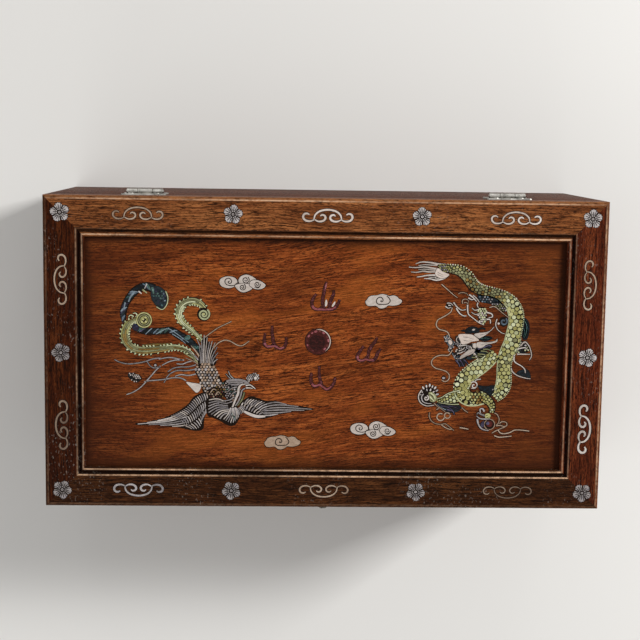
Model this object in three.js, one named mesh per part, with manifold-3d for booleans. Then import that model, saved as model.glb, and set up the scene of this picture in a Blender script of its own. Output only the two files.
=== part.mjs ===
// A hinged hardwood box with a framed lid, shell inlay, two surface hinges and a hook latch.
// Millimetres. +Z is up, -Y is the front with the latch, +Y is the back with the hinges.
// The origin is the middle of the underside.
import * as THREE from "three";
import Module from "manifold-3d";

const wasm = await Module();
wasm.setup();

// Overall sizes
const WIDTH = 380;
const DEPTH = 212;
const HEIGHT = 155;
const LID_HEIGHT = 24;

// Wood sections
const WALL = 10;
const BOTTOM_THICKNESS = 6;
const BOTTOM_BEARING = 5;
const FRAME_THICKNESS = 12;
const FRAME_ACROSS = 27.5;
const ARRIS_RADIUS = 3.5;
const BEAD_WIDTH = 3;
const BEAD_DROP = 0.1;
const QUIRK_WIDTH = 1.8;
const QUIRK_DEPTH = 1.9;
const PANEL_DROP = 4;
const PANEL_THICKNESS = 5;
const PANEL_TONGUE = 5;
const PANEL_ROOM = 0.3;

// Inlay
const INLAY_THICKNESS = 0.8;
const INLAY_GAP = 0.3;
const BORDER_INSET = 11.5;
const FLOWER_RADIUS = 6.3;
const PETALS = 5;
const PETAL_NOTCH = 2;
const PETAL_SQUARENESS = 0.6;
const PETAL_POINTS = 5;
const SCROLL_LENGTH = 32.6;
const PEARL_RADIUS = 8.7;

// Hinges
const HINGE_INSET = 66;
const BARREL_LENGTH = 24.6;
const BARREL_RADIUS = 2.1;
const MIDDLE_KNUCKLE = 10;
const KNUCKLE_GAP = 0.3;
const PIN_RADIUS = 1.1;
const PIN_PLAY = 0.1;
const PIN_HEAD = 0.5;
const PIN_HEAD_LAP = 0.1;
const LEAF_THICKNESS = 1;
const LEAF_REACH = 11.5;
const LEAF_FLARE = 3;
const LEAF_NECK = 0.5;
const LEAF_SHOULDER = 1.7;
const LEAF_SCALLOP = 1.15;
const SCREW_ROW = 7.1;
const SCREW_SPREAD = 8.5;
const SCREW_RADIUS = 1.1;
const SCREW_LENGTH = 6;
const SCREW_HEAD_RADIUS = 2;
const SCREW_HEAD_RISE = 0.4;
const HOLE_PLAY = 0.15;

// Latch
const LATCH_SPAN = 18;
const ROSETTE_RADIUS = 6.5;
const ROSETTE_THICKNESS = 1;
const ROSETTE_LOBES = 8;
const ROSETTE_SCALLOP = 0.5;
const POST_RADIUS = 1.5;
const POST_HEAD_RADIUS = 2.7;
const POST_HEAD_RISE = 1.3;
const HOOK_THICKNESS = 1.6;
const HOOK_GAP = 0.3;
const HOOK_EYE_RADIUS = 3.8;
const HOOK_ARM_WIDTH = 3.4;
const JAW_TURN = 1.3 * Math.PI;

// Facets of the round shapes
const ARC_STEPS = 4;
const ROUND_FACETS = 16;
const FINE_FACETS = 10;

// Derived sizes
const JOINT_Z = HEIGHT - LID_HEIGHT;
const FRAME_Z = HEIGHT - FRAME_THICKNESS;
const PANEL_TOP = HEIGHT - PANEL_DROP;
const PANEL_BASE = PANEL_TOP - PANEL_THICKNESS;
const OPENING_WIDTH = WIDTH - 2 * FRAME_ACROSS;
const OPENING_DEPTH = DEPTH - 2 * FRAME_ACROSS;
const HINGE_X = WIDTH / 2 - HINGE_INSET;
const HINGE_Y = DEPTH / 2 + BARREL_RADIUS;

// The panel's drawing is written on a grid of squares that stretches over the panel's opening.
// The scroll's drawing has a grid of its own.
const SKETCH_COLUMNS = 325;
const SKETCH_ROWS = 158.5;
const SCROLL_COLUMNS = 32.6;
const SQUARE_ACROSS = OPENING_WIDTH / SKETCH_COLUMNS;
const SQUARE_DEEP = OPENING_DEPTH / SKETCH_ROWS;

// Border places: a rail has this many spaces from corner flower to corner flower, and the
// stile's scrolls sit at a share of the way from its middle to the corner flower.
const RAIL_SPACES = 6;
const STILE_SCROLL_SHARE = 0.525;

// Materials
const paint = (color, roughness, metalness = 0) =>
  new THREE.MeshStandardMaterial({ color, roughness, metalness });
const ROSEWOOD = paint(0x4a2213, 0.45);
const PANEL_WOOD = paint(0x8a4319, 0.45);
const LINING_WOOD = paint(0x6b3a1f, 0.6);
const WHITE_SHELL = paint(0xd9d4c6, 0.3);
const GREEN_SHELL = paint(0xa9ad63, 0.3);
const RED_SHELL = paint(0x6e2a33, 0.3);
const DARK_SHELL = paint(0x2f4650, 0.3);
const WHITE_METAL = paint(0xb9b7b0, 0.35, 1);

const lidBox = new THREE.Group();
lidBox.name = "rosewood_box";

// A closed solid from points and triangles; a solid that comes out inside out is turned round.
function solidFrom(positions, triangles) {
  const build = (indices) =>
    new wasm.Manifold(
      new wasm.Mesh({
        numProp: 3,
        vertProperties: new Float32Array(positions),
        triVerts: new Uint32Array(indices),
      }),
    );
  const solid = build(triangles);
  return solid.volume() > 0 ? solid : build([...triangles].reverse());
}

function joinAll(solids) {
  return solids.reduce((whole, piece) => whole.add(piece));
}

function addNode(name, solid, material) {
  const mesh = solid.getMesh();
  const geometry = new THREE.BufferGeometry();
  const points = new Float32Array(mesh.numVert * 3);
  for (let i = 0; i < mesh.numVert; i += 1) {
    const start = i * mesh.numProp;
    points.set(mesh.vertProperties.subarray(start, start + 3), i * 3);
  }
  geometry.setAttribute("position", new THREE.BufferAttribute(points, 3));
  geometry.setIndex(new THREE.BufferAttribute(new Uint32Array(mesh.triVerts), 1));
  const flat = geometry.toNonIndexed();
  flat.computeVertexNormals();
  const node = new THREE.Mesh(flat, material.clone());
  node.name = name;
  lidBox.add(node);
}

// A loop of points on one plane, carried along a direction. place(u, v, w) gives x, y, z.
function prism(loop, low, high, place) {
  const flat = loop.map(([u, v]) => new THREE.Vector2(u, v));
  const count = loop.length;
  const positions = [];
  for (const w of [low, high]) {
    for (const [u, v] of loop) {
      positions.push(...place(u, v, w));
    }
  }
  const triangles = [];
  for (const [a, b, c] of THREE.ShapeUtils.triangulateShape(flat, [])) {
    triangles.push(a, c, b, a + count, b + count, c + count);
  }
  for (let i = 0; i < count; i += 1) {
    const next = (i + 1) % count;
    triangles.push(i, next, next + count, i, next + count, i + count);
  }
  // A loop drawn clockwise gets its side faces turned to match its caps.
  if (THREE.ShapeUtils.isClockWise(flat)) {
    return prism([...loop].reverse(), low, high, place);
  }
  return solidFrom(positions, triangles);
}

const upright = (x, y, z) => [x, y, z];
const slab = (loop, low, high) => prism(loop, low, high, upright);
const alongX = (y, z, x) => [x, y, z];
const alongY = (x, z, y) => [x, y, z];

function circle(cx, cy, radius, facets) {
  return Array.from({ length: facets }, (_, i) => {
    const angle = (2 * Math.PI * i) / facets;
    return [cx + radius * Math.cos(angle), cy + radius * Math.sin(angle)];
  });
}

function ellipse(cx, cy, rx, ry, facets) {
  return circle(0, 0, 1, facets).map(([x, y]) => [cx + rx * x, cy + ry * y]);
}

function rectangle(x0, y0, x1, y1) {
  return [[x0, y0], [x1, y0], [x1, y1], [x0, y1]];
}

// Wood members with mitred ends

// One side of a mitred frame. The profile gives distance in from the outer face, and height.
function mitredMember(profile, side) {
  const across = side === "front" || side === "back";
  const halfLength = (across ? WIDTH : DEPTH) / 2;
  const halfAway = (across ? DEPTH : WIDTH) / 2;
  const sign = side === "front" || side === "left" ? -1 : 1;
  const count = profile.length;
  const positions = [];
  for (const end of [-1, 1]) {
    for (const [inset, z] of profile) {
      const along = end * (halfLength - inset);
      const away = sign * (halfAway - inset);
      positions.push(...(across ? [along, away, z] : [away, along, z]));
    }
  }
  const flat = profile.map(([u, v]) => new THREE.Vector2(u, v));
  const triangles = [];
  for (const [a, b, c] of THREE.ShapeUtils.triangulateShape(flat, [])) {
    triangles.push(a, c, b, a + count, b + count, c + count);
  }
  for (let i = 0; i < count; i += 1) {
    const next = (i + 1) % count;
    triangles.push(i, next, next + count, i, next + count, i + count);
  }
  return solidFrom(positions, triangles);
}

function bodyWallProfile() {
  return [
    [0, 0],
    [WALL - BOTTOM_BEARING, 0],
    [WALL - BOTTOM_BEARING, BOTTOM_THICKNESS],
    [WALL, BOTTOM_THICKNESS],
    [WALL, JOINT_Z],
    [0, JOINT_Z],
  ];
}

function lidWallProfile() {
  return [[0, JOINT_Z], [WALL, JOINT_Z], [WALL, FRAME_Z], [0, FRAME_Z]];
}

// Flat rail with a rounded outer arris, a quirk, a half-round bead and a groove for the panel.
function lidFrameProfile() {
  const beadRadius = BEAD_WIDTH / 2;
  const beadZ = HEIGHT - BEAD_DROP - beadRadius;
  const beadStart = FRAME_ACROSS - BEAD_WIDTH;
  const grooveFloor = FRAME_ACROSS - PANEL_TONGUE - PANEL_ROOM;
  const profile = [
    [0, FRAME_Z],
    [FRAME_ACROSS, FRAME_Z],
    [FRAME_ACROSS, PANEL_BASE],
    [grooveFloor, PANEL_BASE],
    [grooveFloor, PANEL_TOP],
    [FRAME_ACROSS, PANEL_TOP],
  ];
  for (let i = 0; i <= ARC_STEPS; i += 1) {
    const angle = (Math.PI * i) / ARC_STEPS;
    const inset = beadStart + beadRadius + beadRadius * Math.cos(angle);
    profile.push([inset, beadZ + beadRadius * Math.sin(angle)]);
  }
  profile.push([beadStart - QUIRK_WIDTH / 3, HEIGHT - QUIRK_DEPTH]);
  profile.push([beadStart - QUIRK_WIDTH, HEIGHT]);
  for (let i = 0; i <= ARC_STEPS; i += 1) {
    const angle = Math.PI / 2 + (Math.PI / 2) * (i / ARC_STEPS);
    const inset = ARRIS_RADIUS + ARRIS_RADIUS * Math.cos(angle);
    profile.push([inset, HEIGHT - ARRIS_RADIUS + ARRIS_RADIUS * Math.sin(angle)]);
  }
  return profile;
}

// Inlay motifs: each is a set of closed loops about its own middle, grown by a margin

// Smooth curve through [x, y, half width] points.
function smooth(points, steps) {
  const curve = new THREE.CatmullRomCurve3(
    points.map(([x, y, half]) => new THREE.Vector3(x, y, half)),
    false,
    "centripetal",
  );
  return curve.getPoints(steps).map((p) => [p.x, p.y, p.z]);
}

// The closed outline of a brush stroke that swells and thins, with pointed round ends.
function stroke(points, steps, margin) {
  const line = smooth(points, steps);
  const left = [];
  const right = [];
  line.forEach(([x, y, half], i) => {
    const [ax, ay] = line[Math.max(i - 1, 0)];
    const [bx, by] = line[Math.min(i + 1, line.length - 1)];
    const length = Math.hypot(bx - ax, by - ay);
    const [dx, dy] = [(bx - ax) / length, (by - ay) / length];
    const reach = half + margin;
    left.push([x - dy * reach, y + dx * reach]);
    right.unshift([x + dy * reach, y - dx * reach]);
    if (i === 0) {
      right.push([x - dx * reach, y - dy * reach]);
    }
    if (i === line.length - 1) {
      left.push([x + dx * reach, y + dy * reach]);
    }
  });
  return [...left, ...right];
}

const mirrored = (points) => points.map(([x, y, half]) => [-x, y, half]);

// Five round petals.
function flowerLoops(margin) {
  const count = PETALS * PETAL_POINTS;
  const loop = Array.from({ length: count }, (_, i) => {
    const turn = (2 * Math.PI * i) / count;
    const swell = Math.abs(Math.cos((PETALS * turn) / 2)) ** PETAL_SQUARENESS;
    const reach = FLOWER_RADIUS - PETAL_NOTCH * (1 - swell) + margin;
    const angle = turn + Math.PI / 2;
    return [reach * Math.cos(angle), reach * Math.sin(angle)];
  });
  return [loop];
}

// A low arch between two inward curls, with a hook beyond each.
function scrollLoops(margin) {
  const arch = [[-7.6, -1.2, 0.8], [-4.6, 3, 0.9], [0, 4.3, 1], [4.6, 3, 0.9], [7.6, -1.2, 0.8]];
  const curl = [[7.7, -1, 0.7], [6.2, -3.6, 0.8], [3, -3.2, 0.8], [2.6, -0.6, 0.9]];
  const hook = [[7.4, -1.6, 0.7], [10.6, -3.7, 0.7], [15.2, -2.8, 0.8], [15.4, 0.6, 0.9], [13.2, 1.2, 0.9]];
  return [
    stroke(arch, 5, margin),
    stroke(curl, 4, margin),
    stroke(mirrored(curl), 4, margin),
    stroke(hook, 4, margin),
    stroke(mirrored(hook), 4, margin),
  ];
}

// Overlapping puffs. Each puff is [x, y, half length, half height].
function cloudLoops(puffs, margin) {
  return puffs.map(([x, y, rx, ry]) => ellipse(x, y, rx + margin, ry + margin, FINE_FACETS));
}

const LONG_CLOUD = [[-9.2, 0.9, 6.2, 3.9], [3.3, 2.6, 6.1, 3.6], [0.8, -2.7, 6.2, 3.2], [10.3, -0.5, 5.1, 3]];
const SHORT_CLOUD = [[-6, 0.6, 6, 3.3], [4.6, 1.6, 5.6, 2.9], [3.4, -2, 7.6, 2.5]];

// Three tongues of fire rising from a double curl.
function flameLoops(margin) {
  return [
    stroke([[-7.2, 4.2, 0.5], [-7, 0, 1.2], [-5.2, -4.2, 1.5], [-1.2, -3, 1.5]], 5, margin),
    stroke([[-1.6, 9, 0.5], [-1.7, 4.5, 1.2], [-1, 0, 1.3], [-0.4, -3.8, 1.6]], 5, margin),
    stroke([[-1, -3, 1.5], [2.6, -6, 1.6], [7.2, -4.4, 1.6], [8.6, 0, 1.2], [7.4, 3.8, 0.5]], 6, margin),
  ];
}

function pearlLoops(margin) {
  return [circle(0, 0, PEARL_RADIUS + margin, ROUND_FACETS)];
}

// The dragon's long body with its haunch and three legs.
function dragonBodyLoops(margin) {
  const back = [
    [80, 61.2, 3.1], [88, 60.3, 3.7], [95, 55.8, 4], [100, 49.8, 4.3], [108, 44.8, 4.8],
    [119, 40, 5.1], [127.2, 32.5, 5.4], [129, 22.5, 5.6], [125.5, 12, 5.6], [122.4, 2, 5.2],
    [122, -11, 5.1], [120.5, -20.5, 5], [114, -28, 4.6], [105, -30.6, 4.6], [97, -28.8, 4.6],
    [93.4, -22.5, 4.9], [96, -15, 5], [103, -9.5, 4.8], [112, -2.5, 4.5],
  ];
  return [
    stroke(back, 28, margin),
    stroke([[117, 41, 3.2], [111.5, 38, 2.7], [107.3, 33.5, 2.4], [106, 29.5, 2.6]], 5, margin),
    stroke([[105, 32, 1.4], [97.5, 36, 0.5]], 2, margin),
    stroke([[105, 30, 1.4], [95.5, 30.5, 0.5]], 2, margin),
    stroke([[105.5, 29, 1.4], [99.5, 24.6, 0.5]], 2, margin),
    stroke([[106.5, 29, 1.4], [108, 22, 0.5]], 2, margin),
    stroke([[92, -26.5, 3.6], [83, -29, 2.5], [76, -30.3, 1.7], [70, -29.6, 3.2]], 5, margin),
    stroke([[71, -29, 1.4], [77, -24.4, 0.6]], 2, margin),
    stroke([[70, -29, 1.4], [71, -20.6, 0.6]], 2, margin),
    stroke([[69, -30, 1.4], [63.6, -25.5, 0.6]], 2, margin),
    stroke([[69, -30, 1.4], [65.6, -35.2, 0.6]], 2, margin),
    stroke([[105, -28.5, 4.6], [111.5, -31, 3], [114.6, -37, 1.9], [112, -42.2, 2.8]], 6, margin),
    stroke([[112, -41, 1.4], [105.8, -36.6, 0.6]], 2, margin),
    stroke([[112, -42.5, 1.4], [104.6, -43, 0.6]], 2, margin),
    stroke([[112, -43, 1.4], [107, -48.6, 0.6]], 2, margin),
    stroke([[112.5, -42, 1.4], [118.6, -46.4, 0.6]], 2, margin),
  ];
}

// Head with brow, snout, jaw, two horns and two long whiskers.
function dragonHeadLoops(margin) {
  return [
    ellipse(96.5, 11.6, 8 + margin, 4.4 + margin, ROUND_FACETS),
    stroke([[83.5, 11.4, 1.9], [87, 7.6, 2.6], [93, 5, 3], [100, 5, 3]], 5, margin),
    stroke([[88, -1.6, 1.6], [93, 0.6, 2.6], [100, 4, 3]], 4, margin),
    stroke([[101, 13.6, 1.5], [108, 16, 1.2], [114.4, 20.4, 0.4]], 4, margin),
    stroke([[100, 7.8, 1.5], [109.5, 8.6, 1.1], [116.4, 12, 0.4]], 4, margin),
    stroke([[83.4, 12, 0.6], [77.4, 18.4, 0.5], [76, 25, 0.5], [84.6, 30.6, 0.6], [83.6, 35.2, 1.2]], 8, margin),
    stroke([[88, -1, 0.6], [76.5, 0.3, 0.5], [72.4, -5.5, 0.5], [83, -11.2, 0.6], [81.2, -16.4, 1.2]], 8, margin),
  ];
}

// A fan of narrow tongues that streams from the end of the tail.
function tailFinLoops(margin) {
  const tips = [[60, 64.4], [55.6, 61.6], [57.6, 58], [63.4, 54.4], [71, 53]];
  const root = [74.2, 60.4];
  return tips.map(([x, y]) => {
    const middle = [(x + root[0]) / 2, (y + root[1]) / 2, 1.6];
    return stroke([[...root, 1.8], middle, [x, y, 0.4]], 4, margin);
  });
}

// Scaled body, arched neck, crested head, breast feathers and two spread wings.
function phoenixBirdLoops(margin) {
  return [
    stroke([[-79.8, -1, 4.6], [-79.5, -10, 7], [-76.5, -20, 8.2], [-70.5, -31, 8]], 6, margin),
    stroke([[-71, -31, 7], [-70, -39, 7.4], [-63.4, -46, 4.2]], 4, margin),
    stroke([[-68, -33, 6], [-62, -33.5, 5], [-59, -25, 3.6], [-54.5, -20.4, 2.6], [-48.6, -17.6, 2.6]], 6, margin),
    stroke([[-54, -21.6, 1.8], [-47.2, -23.2, 0.7]], 2, margin),
    stroke([[-60, -23, 1.7], [-64.4, -17.6, 1], [-66, -12, 0.4]], 3, margin),
    stroke([[-82, -31, 5.5], [-89, -42, 8.4], [-100, -46.6, 5.4], [-128, -49.6, 0.6]], 6, margin),
    stroke([[-90, -46, 5], [-86.4, -50.6, 3.2]], 2, margin),
    stroke([[-60, -37, 3], [-51, -36.6, 6], [-41, -39, 6.2], [-28, -37.6, 3.6], [-9, -38.2, 0.6]], 6, margin),
    stroke([[-84, -24, 3], [-94, -19.4, 0.8]], 2, margin),
  ];
}

// Long tail plume that runs out low and rolls up at its end.
function lowPlumeLoops(margin) {
  const spine = [
    [-92, -1.4, 1.8], [-99, 2.6, 2.4], [-107, 3.4, 2.6], [-116, 2.3, 3], [-125, 2.2, 3.3],
    [-132, 5.4, 3.4], [-136.4, 11, 3.5], [-136, 17.4, 3.1], [-131, 22.6, 2.6], [-124, 24.2, 2.4],
  ];
  return [stroke(spine, 14, margin), circle(-122.4, 22.4, 4.2 + margin, FINE_FACETS)];
}

// Shorter tail plume that rises and rolls over.
function highPlumeLoops(margin) {
  const spine = [
    [-86.4, 10.4, 2], [-92, 16.4, 2.8], [-98, 22.6, 3.1], [-99.6, 29, 3.3], [-95, 35, 3.1],
    [-88, 36, 2.8], [-82.4, 32.6, 2.8], [-81.6, 27.6, 3],
  ];
  return [stroke(spine, 12, margin), circle(-82, 27.4, 4.2 + margin, FINE_FACETS)];
}

// The dark plume runs under the low plume, so it shows in two lengths.
function darkPlumeRootLoops(margin) {
  const spine = [[-88.6, 4.6, 1.4], [-94, 10.2, 2.3], [-103, 15.2, 2.4], [-114, 15.2, 2.3], [-128, 15.4, 1.7]];
  return [stroke(spine, 8, margin)];
}

function darkPlumeTipLoops(margin) {
  const spine = [
    [-136.6, 27, 1.8], [-135, 34, 2.5], [-130, 40, 3], [-122, 44.6, 3.8], [-114.4, 41.6, 4.8],
    [-111, 36, 3.8], [-110.6, 32.2, 1.4],
  ];
  return [stroke(spine, 12, margin)];
}

// Where each motif goes

// Stretches, turns and moves a set of loops.
function placeLoops(loops, x, y, [across, deep], quarterTurns) {
  const turn = (Math.PI / 2) * quarterTurns;
  const cos = Math.round(Math.cos(turn));
  const sin = Math.round(Math.sin(turn));
  return loops.map((loop) =>
    loop.map(([u, v]) => {
      const [right, up] = [u * across, v * deep];
      return [x + right * cos - up * sin, y + right * sin + up * cos];
    }),
  );
}

// One inlaid piece and the pocket it sits in, with its face level with the wood.
function inlay(name, motif, place, surface, material) {
  const { x, y, scale = [1, 1], quarterTurns = 0 } = place;
  const plate = (margin, high) =>
    joinAll(
      placeLoops(motif(margin / Math.min(...scale)), x, y, scale, quarterTurns).map((loop) =>
        slab(loop, surface - INLAY_THICKNESS, high),
      ),
    );
  addNode(name, plate(0, surface), material);
  return plate(INLAY_GAP, surface + INLAY_THICKNESS);
}

const railPitch = WIDTH / RAIL_SPACES;
const borderX = WIDTH / 2 - BORDER_INSET;
const borderY = DEPTH / 2 - BORDER_INSET;
const stilePitch = borderY * STILE_SCROLL_SHARE;
const scrollScale = [SCROLL_LENGTH / SCROLL_COLUMNS, SCROLL_LENGTH / SCROLL_COLUMNS];

const borderPockets = [];
for (const [end, y, quarterTurns] of [["back", borderY, 0], ["front", -borderY, 2]]) {
  for (const [i, step] of [-3, -1, 1, 3].entries()) {
    const x = Math.sign(step) * Math.min(Math.abs(step) * railPitch, borderX);
    const place = { x, y, quarterTurns };
    const name = `border_flower_${end}_${i + 1}`;
    borderPockets.push(inlay(name, flowerLoops, place, HEIGHT, WHITE_SHELL));
  }
  for (const [i, step] of [-2, 0, 2].entries()) {
    const place = { x: step * railPitch, y, scale: scrollScale, quarterTurns };
    const name = `border_scroll_${end}_${i + 1}`;
    borderPockets.push(inlay(name, scrollLoops, place, HEIGHT, WHITE_SHELL));
  }
}
for (const [end, x, quarterTurns] of [["left", -borderX, 1], ["right", borderX, 3]]) {
  const flower = { x, y: 0, quarterTurns };
  borderPockets.push(inlay(`border_flower_${end}`, flowerLoops, flower, HEIGHT, WHITE_SHELL));
  for (const [i, step] of [-1, 1].entries()) {
    const place = { x, y: step * stilePitch, scale: scrollScale, quarterTurns };
    const name = `border_scroll_${end}_${i + 1}`;
    borderPockets.push(inlay(name, scrollLoops, place, HEIGHT, WHITE_SHELL));
  }
}

const onPanel = (column, row) => ({
  x: column * SQUARE_ACROSS,
  y: row * SQUARE_DEEP,
  scale: [SQUARE_ACROSS, SQUARE_DEEP],
});
const longCloud = (margin) => cloudLoops(LONG_CLOUD, margin);
const shortCloud = (margin) => cloudLoops(SHORT_CLOUD, margin);
const panelInlays = [
  ["cloud_back_left", longCloud, onPanel(-56.9, 48.5), WHITE_SHELL],
  ["cloud_back_right", shortCloud, onPanel(38.5, 38.4), WHITE_SHELL],
  ["cloud_front_left", shortCloud, onPanel(-28.7, -61.1), WHITE_SHELL],
  ["cloud_front_right", longCloud, onPanel(33.2, -51.8), WHITE_SHELL],
  ["flame_back", flameLoops, onPanel(-1.1, 40.4), RED_SHELL],
  ["flame_left", flameLoops, onPanel(-34, 10.9), RED_SHELL],
  ["flame_right", flameLoops, onPanel(29.6, 3.1), RED_SHELL],
  ["flame_front", flameLoops, onPanel(-2.2, -17.5), RED_SHELL],
  ["pearl", pearlLoops, onPanel(-5.2, 9.1), RED_SHELL],
  ["dragon_body", dragonBodyLoops, onPanel(0, 0), GREEN_SHELL],
  ["dragon_head", dragonHeadLoops, onPanel(0, 0), WHITE_SHELL],
  ["dragon_tail_fin", tailFinLoops, onPanel(0, 0), WHITE_SHELL],
  ["phoenix_bird", phoenixBirdLoops, onPanel(0, 0), WHITE_SHELL],
  ["phoenix_low_plume", lowPlumeLoops, onPanel(0, 0), GREEN_SHELL],
  ["phoenix_high_plume", highPlumeLoops, onPanel(0, 0), GREEN_SHELL],
  ["phoenix_dark_plume_root", darkPlumeRootLoops, onPanel(0, 0), DARK_SHELL],
  ["phoenix_dark_plume_tip", darkPlumeTipLoops, onPanel(0, 0), DARK_SHELL],
];
const panelPockets = panelInlays.map(([name, motif, place, material]) =>
  inlay(name, motif, place, PANEL_TOP, material),
);

// Hinges

function rod(radius, facets, from, to, y, z) {
  return prism(circle(y, z, radius, facets), from, to, alongX);
}

// Where the knuckles start and end along the barrel, and whose they are.
function knuckles(centre) {
  const half = BARREL_LENGTH / 2;
  const inner = MIDDLE_KNUCKLE / 2;
  return {
    lid: [[centre - inner, centre + inner]],
    body: [
      [centre - half, centre - inner - KNUCKLE_GAP],
      [centre + inner + KNUCKLE_GAP, centre + half],
    ],
  };
}

// A leaf lies on the back wall, flares away from the barrel and carries two screws.
function hingeLeaf(centre, owner) {
  const up = owner === "lid" ? 1 : -1;
  const half = BARREL_LENGTH / 2;
  const flare = half + LEAF_FLARE;
  const clear = BARREL_RADIUS + KNUCKLE_GAP;
  const backFace = DEPTH / 2;
  const plateZ = (height) => JOINT_Z + up * height;
  const outline = [
    [-half, clear],
    [half, clear],
    [half + LEAF_NECK, LEAF_REACH / 2],
    [flare, LEAF_REACH - LEAF_SHOULDER],
    [flare - LEAF_SHOULDER, LEAF_REACH],
    [half / 2, LEAF_REACH - LEAF_SCALLOP],
    [0, LEAF_REACH],
    [-half / 2, LEAF_REACH - LEAF_SCALLOP],
    [-flare + LEAF_SHOULDER, LEAF_REACH],
    [-flare, LEAF_REACH - LEAF_SHOULDER],
    [-half - LEAF_NECK, LEAF_REACH / 2],
  ];
  const plate = outline.map(([x, height]) => [centre + x, plateZ(height)]);
  const outer = backFace + LEAF_THICKNESS;
  const pieces = [prism(plate, backFace, outer, alongY)];
  for (const [start, end] of knuckles(centre)[owner]) {
    pieces.push(rod(BARREL_RADIUS, ROUND_FACETS, start, end, HINGE_Y, JOINT_Z));
    const tab = rectangle(start, plateZ(HOLE_PLAY), end, plateZ(clear + LEAF_THICKNESS));
    pieces.push(prism(tab, backFace, outer, alongY));
  }
  for (const side of [-1, 1]) {
    const at = [centre + side * SCREW_SPREAD, plateZ(SCREW_ROW)];
    const head = circle(...at, SCREW_HEAD_RADIUS, FINE_FACETS);
    pieces.push(prism(head, outer - LEAF_THICKNESS / 2, outer + SCREW_HEAD_RISE, alongY));
    const shank = circle(...at, SCREW_RADIUS, FINE_FACETS);
    pieces.push(prism(shank, backFace - SCREW_LENGTH, outer, alongY));
  }
  const bore = PIN_RADIUS + PIN_PLAY;
  const reach = BARREL_LENGTH;
  return joinAll(pieces).subtract(
    rod(bore, FINE_FACETS, centre - reach, centre + reach, HINGE_Y, JOINT_Z),
  );
}

function hingePin(centre) {
  const half = BARREL_LENGTH / 2;
  const head = PIN_RADIUS + PIN_PLAY + PIN_HEAD_LAP;
  return joinAll([
    rod(PIN_RADIUS, FINE_FACETS, centre - half - PIN_HEAD, centre + half + PIN_HEAD, HINGE_Y, JOINT_Z),
    rod(head, FINE_FACETS, centre - half - PIN_HEAD, centre - half, HINGE_Y, JOINT_Z),
    rod(head, FINE_FACETS, centre + half, centre + half + PIN_HEAD, HINGE_Y, JOINT_Z),
  ]);
}

function screwHoles(centre, owner) {
  const up = owner === "lid" ? 1 : -1;
  return [-1, 1].map((side) => {
    const x = centre + side * SCREW_SPREAD;
    const z = JOINT_Z + up * SCREW_ROW;
    const hole = circle(x, z, SCREW_RADIUS + HOLE_PLAY, FINE_FACETS);
    return prism(hole, DEPTH / 2 - SCREW_LENGTH - HOLE_PLAY, DEPTH / 2 + LEAF_THICKNESS, alongY);
  });
}

const hingeCentres = { left: -HINGE_X, right: HINGE_X };
for (const [side, centre] of Object.entries(hingeCentres)) {
  addNode(`${side}_hinge_lid_leaf`, hingeLeaf(centre, "lid"), WHITE_METAL);
  addNode(`${side}_hinge_body_leaf`, hingeLeaf(centre, "body"), WHITE_METAL);
  addNode(`${side}_hinge_pin`, hingePin(centre), WHITE_METAL);
}

// Latch

const frontFace = -DEPTH / 2;
const pivotZ = JOINT_Z - LATCH_SPAN / 2;
const studZ = JOINT_Z + LATCH_SPAN / 2;
const hookBack = frontFace - ROSETTE_THICKNESS - HOOK_GAP;
const hookFront = hookBack - HOOK_THICKNESS;
const headBack = hookFront - HOOK_GAP;

// A lobed plate with a headed post, held by a shank in the wood.
function rosettePost(z) {
  const lobes = Array.from({ length: ROUND_FACETS * 2 }, (_, i) => {
    const turn = (Math.PI * i) / ROUND_FACETS;
    const reach = ROSETTE_RADIUS - ROSETTE_SCALLOP * (1 - Math.cos(ROSETTE_LOBES * turn));
    return [reach * Math.sin(turn), z + reach * Math.cos(turn)];
  });
  const headFront = headBack - POST_HEAD_RISE;
  return joinAll([
    prism(lobes, frontFace - ROSETTE_THICKNESS, frontFace, alongY),
    prism(circle(0, z, POST_RADIUS, FINE_FACETS), headFront, frontFace, alongY),
    prism(circle(0, z, POST_HEAD_RADIUS, ROUND_FACETS), headFront, headBack, alongY),
    prism(circle(0, z, SCREW_RADIUS, FINE_FACETS), frontFace - ROSETTE_THICKNESS,
      frontFace + SCREW_LENGTH, alongY),
  ]);
}

function postHole(z) {
  const hole = circle(0, z, SCREW_RADIUS + HOLE_PLAY, FINE_FACETS);
  return prism(hole, frontFace - ROSETTE_THICKNESS, frontFace + SCREW_LENGTH + HOLE_PLAY, alongY);
}

// The hook hangs from the body's post. Swung up to the right it closes round the lid's post.
function latchHook() {
  const hole = POST_RADIUS + HOOK_GAP;
  const outer = HOOK_EYE_RADIUS;
  const half = HOOK_ARM_WIDTH / 2;
  const jaw = [];
  const steps = ROUND_FACETS;
  const from = -Math.PI / 2;
  for (let i = 0; i <= steps; i += 1) {
    const angle = from + (JAW_TURN * i) / steps;
    jaw.push([outer * Math.cos(angle), outer * Math.sin(angle)]);
  }
  for (let i = steps; i >= 0; i -= 1) {
    const angle = from + (JAW_TURN * i) / steps;
    jaw.push([hole * Math.cos(angle), hole * Math.sin(angle)]);
  }
  const armTop = LATCH_SPAN - hole;
  const hung = ([x, z]) => [-x, pivotZ - z];
  const piece = (loop) => prism(loop.map(hung), hookFront, hookBack, alongY);
  return joinAll([
    piece(circle(0, 0, outer, ROUND_FACETS)),
    piece(rectangle(-half, 0, half, armTop)),
    piece(jaw.map(([x, z]) => [x, z + LATCH_SPAN])),
  ]).subtract(
    prism(circle(0, pivotZ, hole, FINE_FACETS), hookFront - HOOK_GAP, hookBack + HOOK_GAP, alongY),
  );
}

addNode("latch_body_post", rosettePost(pivotZ), WHITE_METAL);
addNode("latch_lid_post", rosettePost(studZ), WHITE_METAL);
addNode("latch_hook", latchHook(), WHITE_METAL);

// Woodwork

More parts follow.
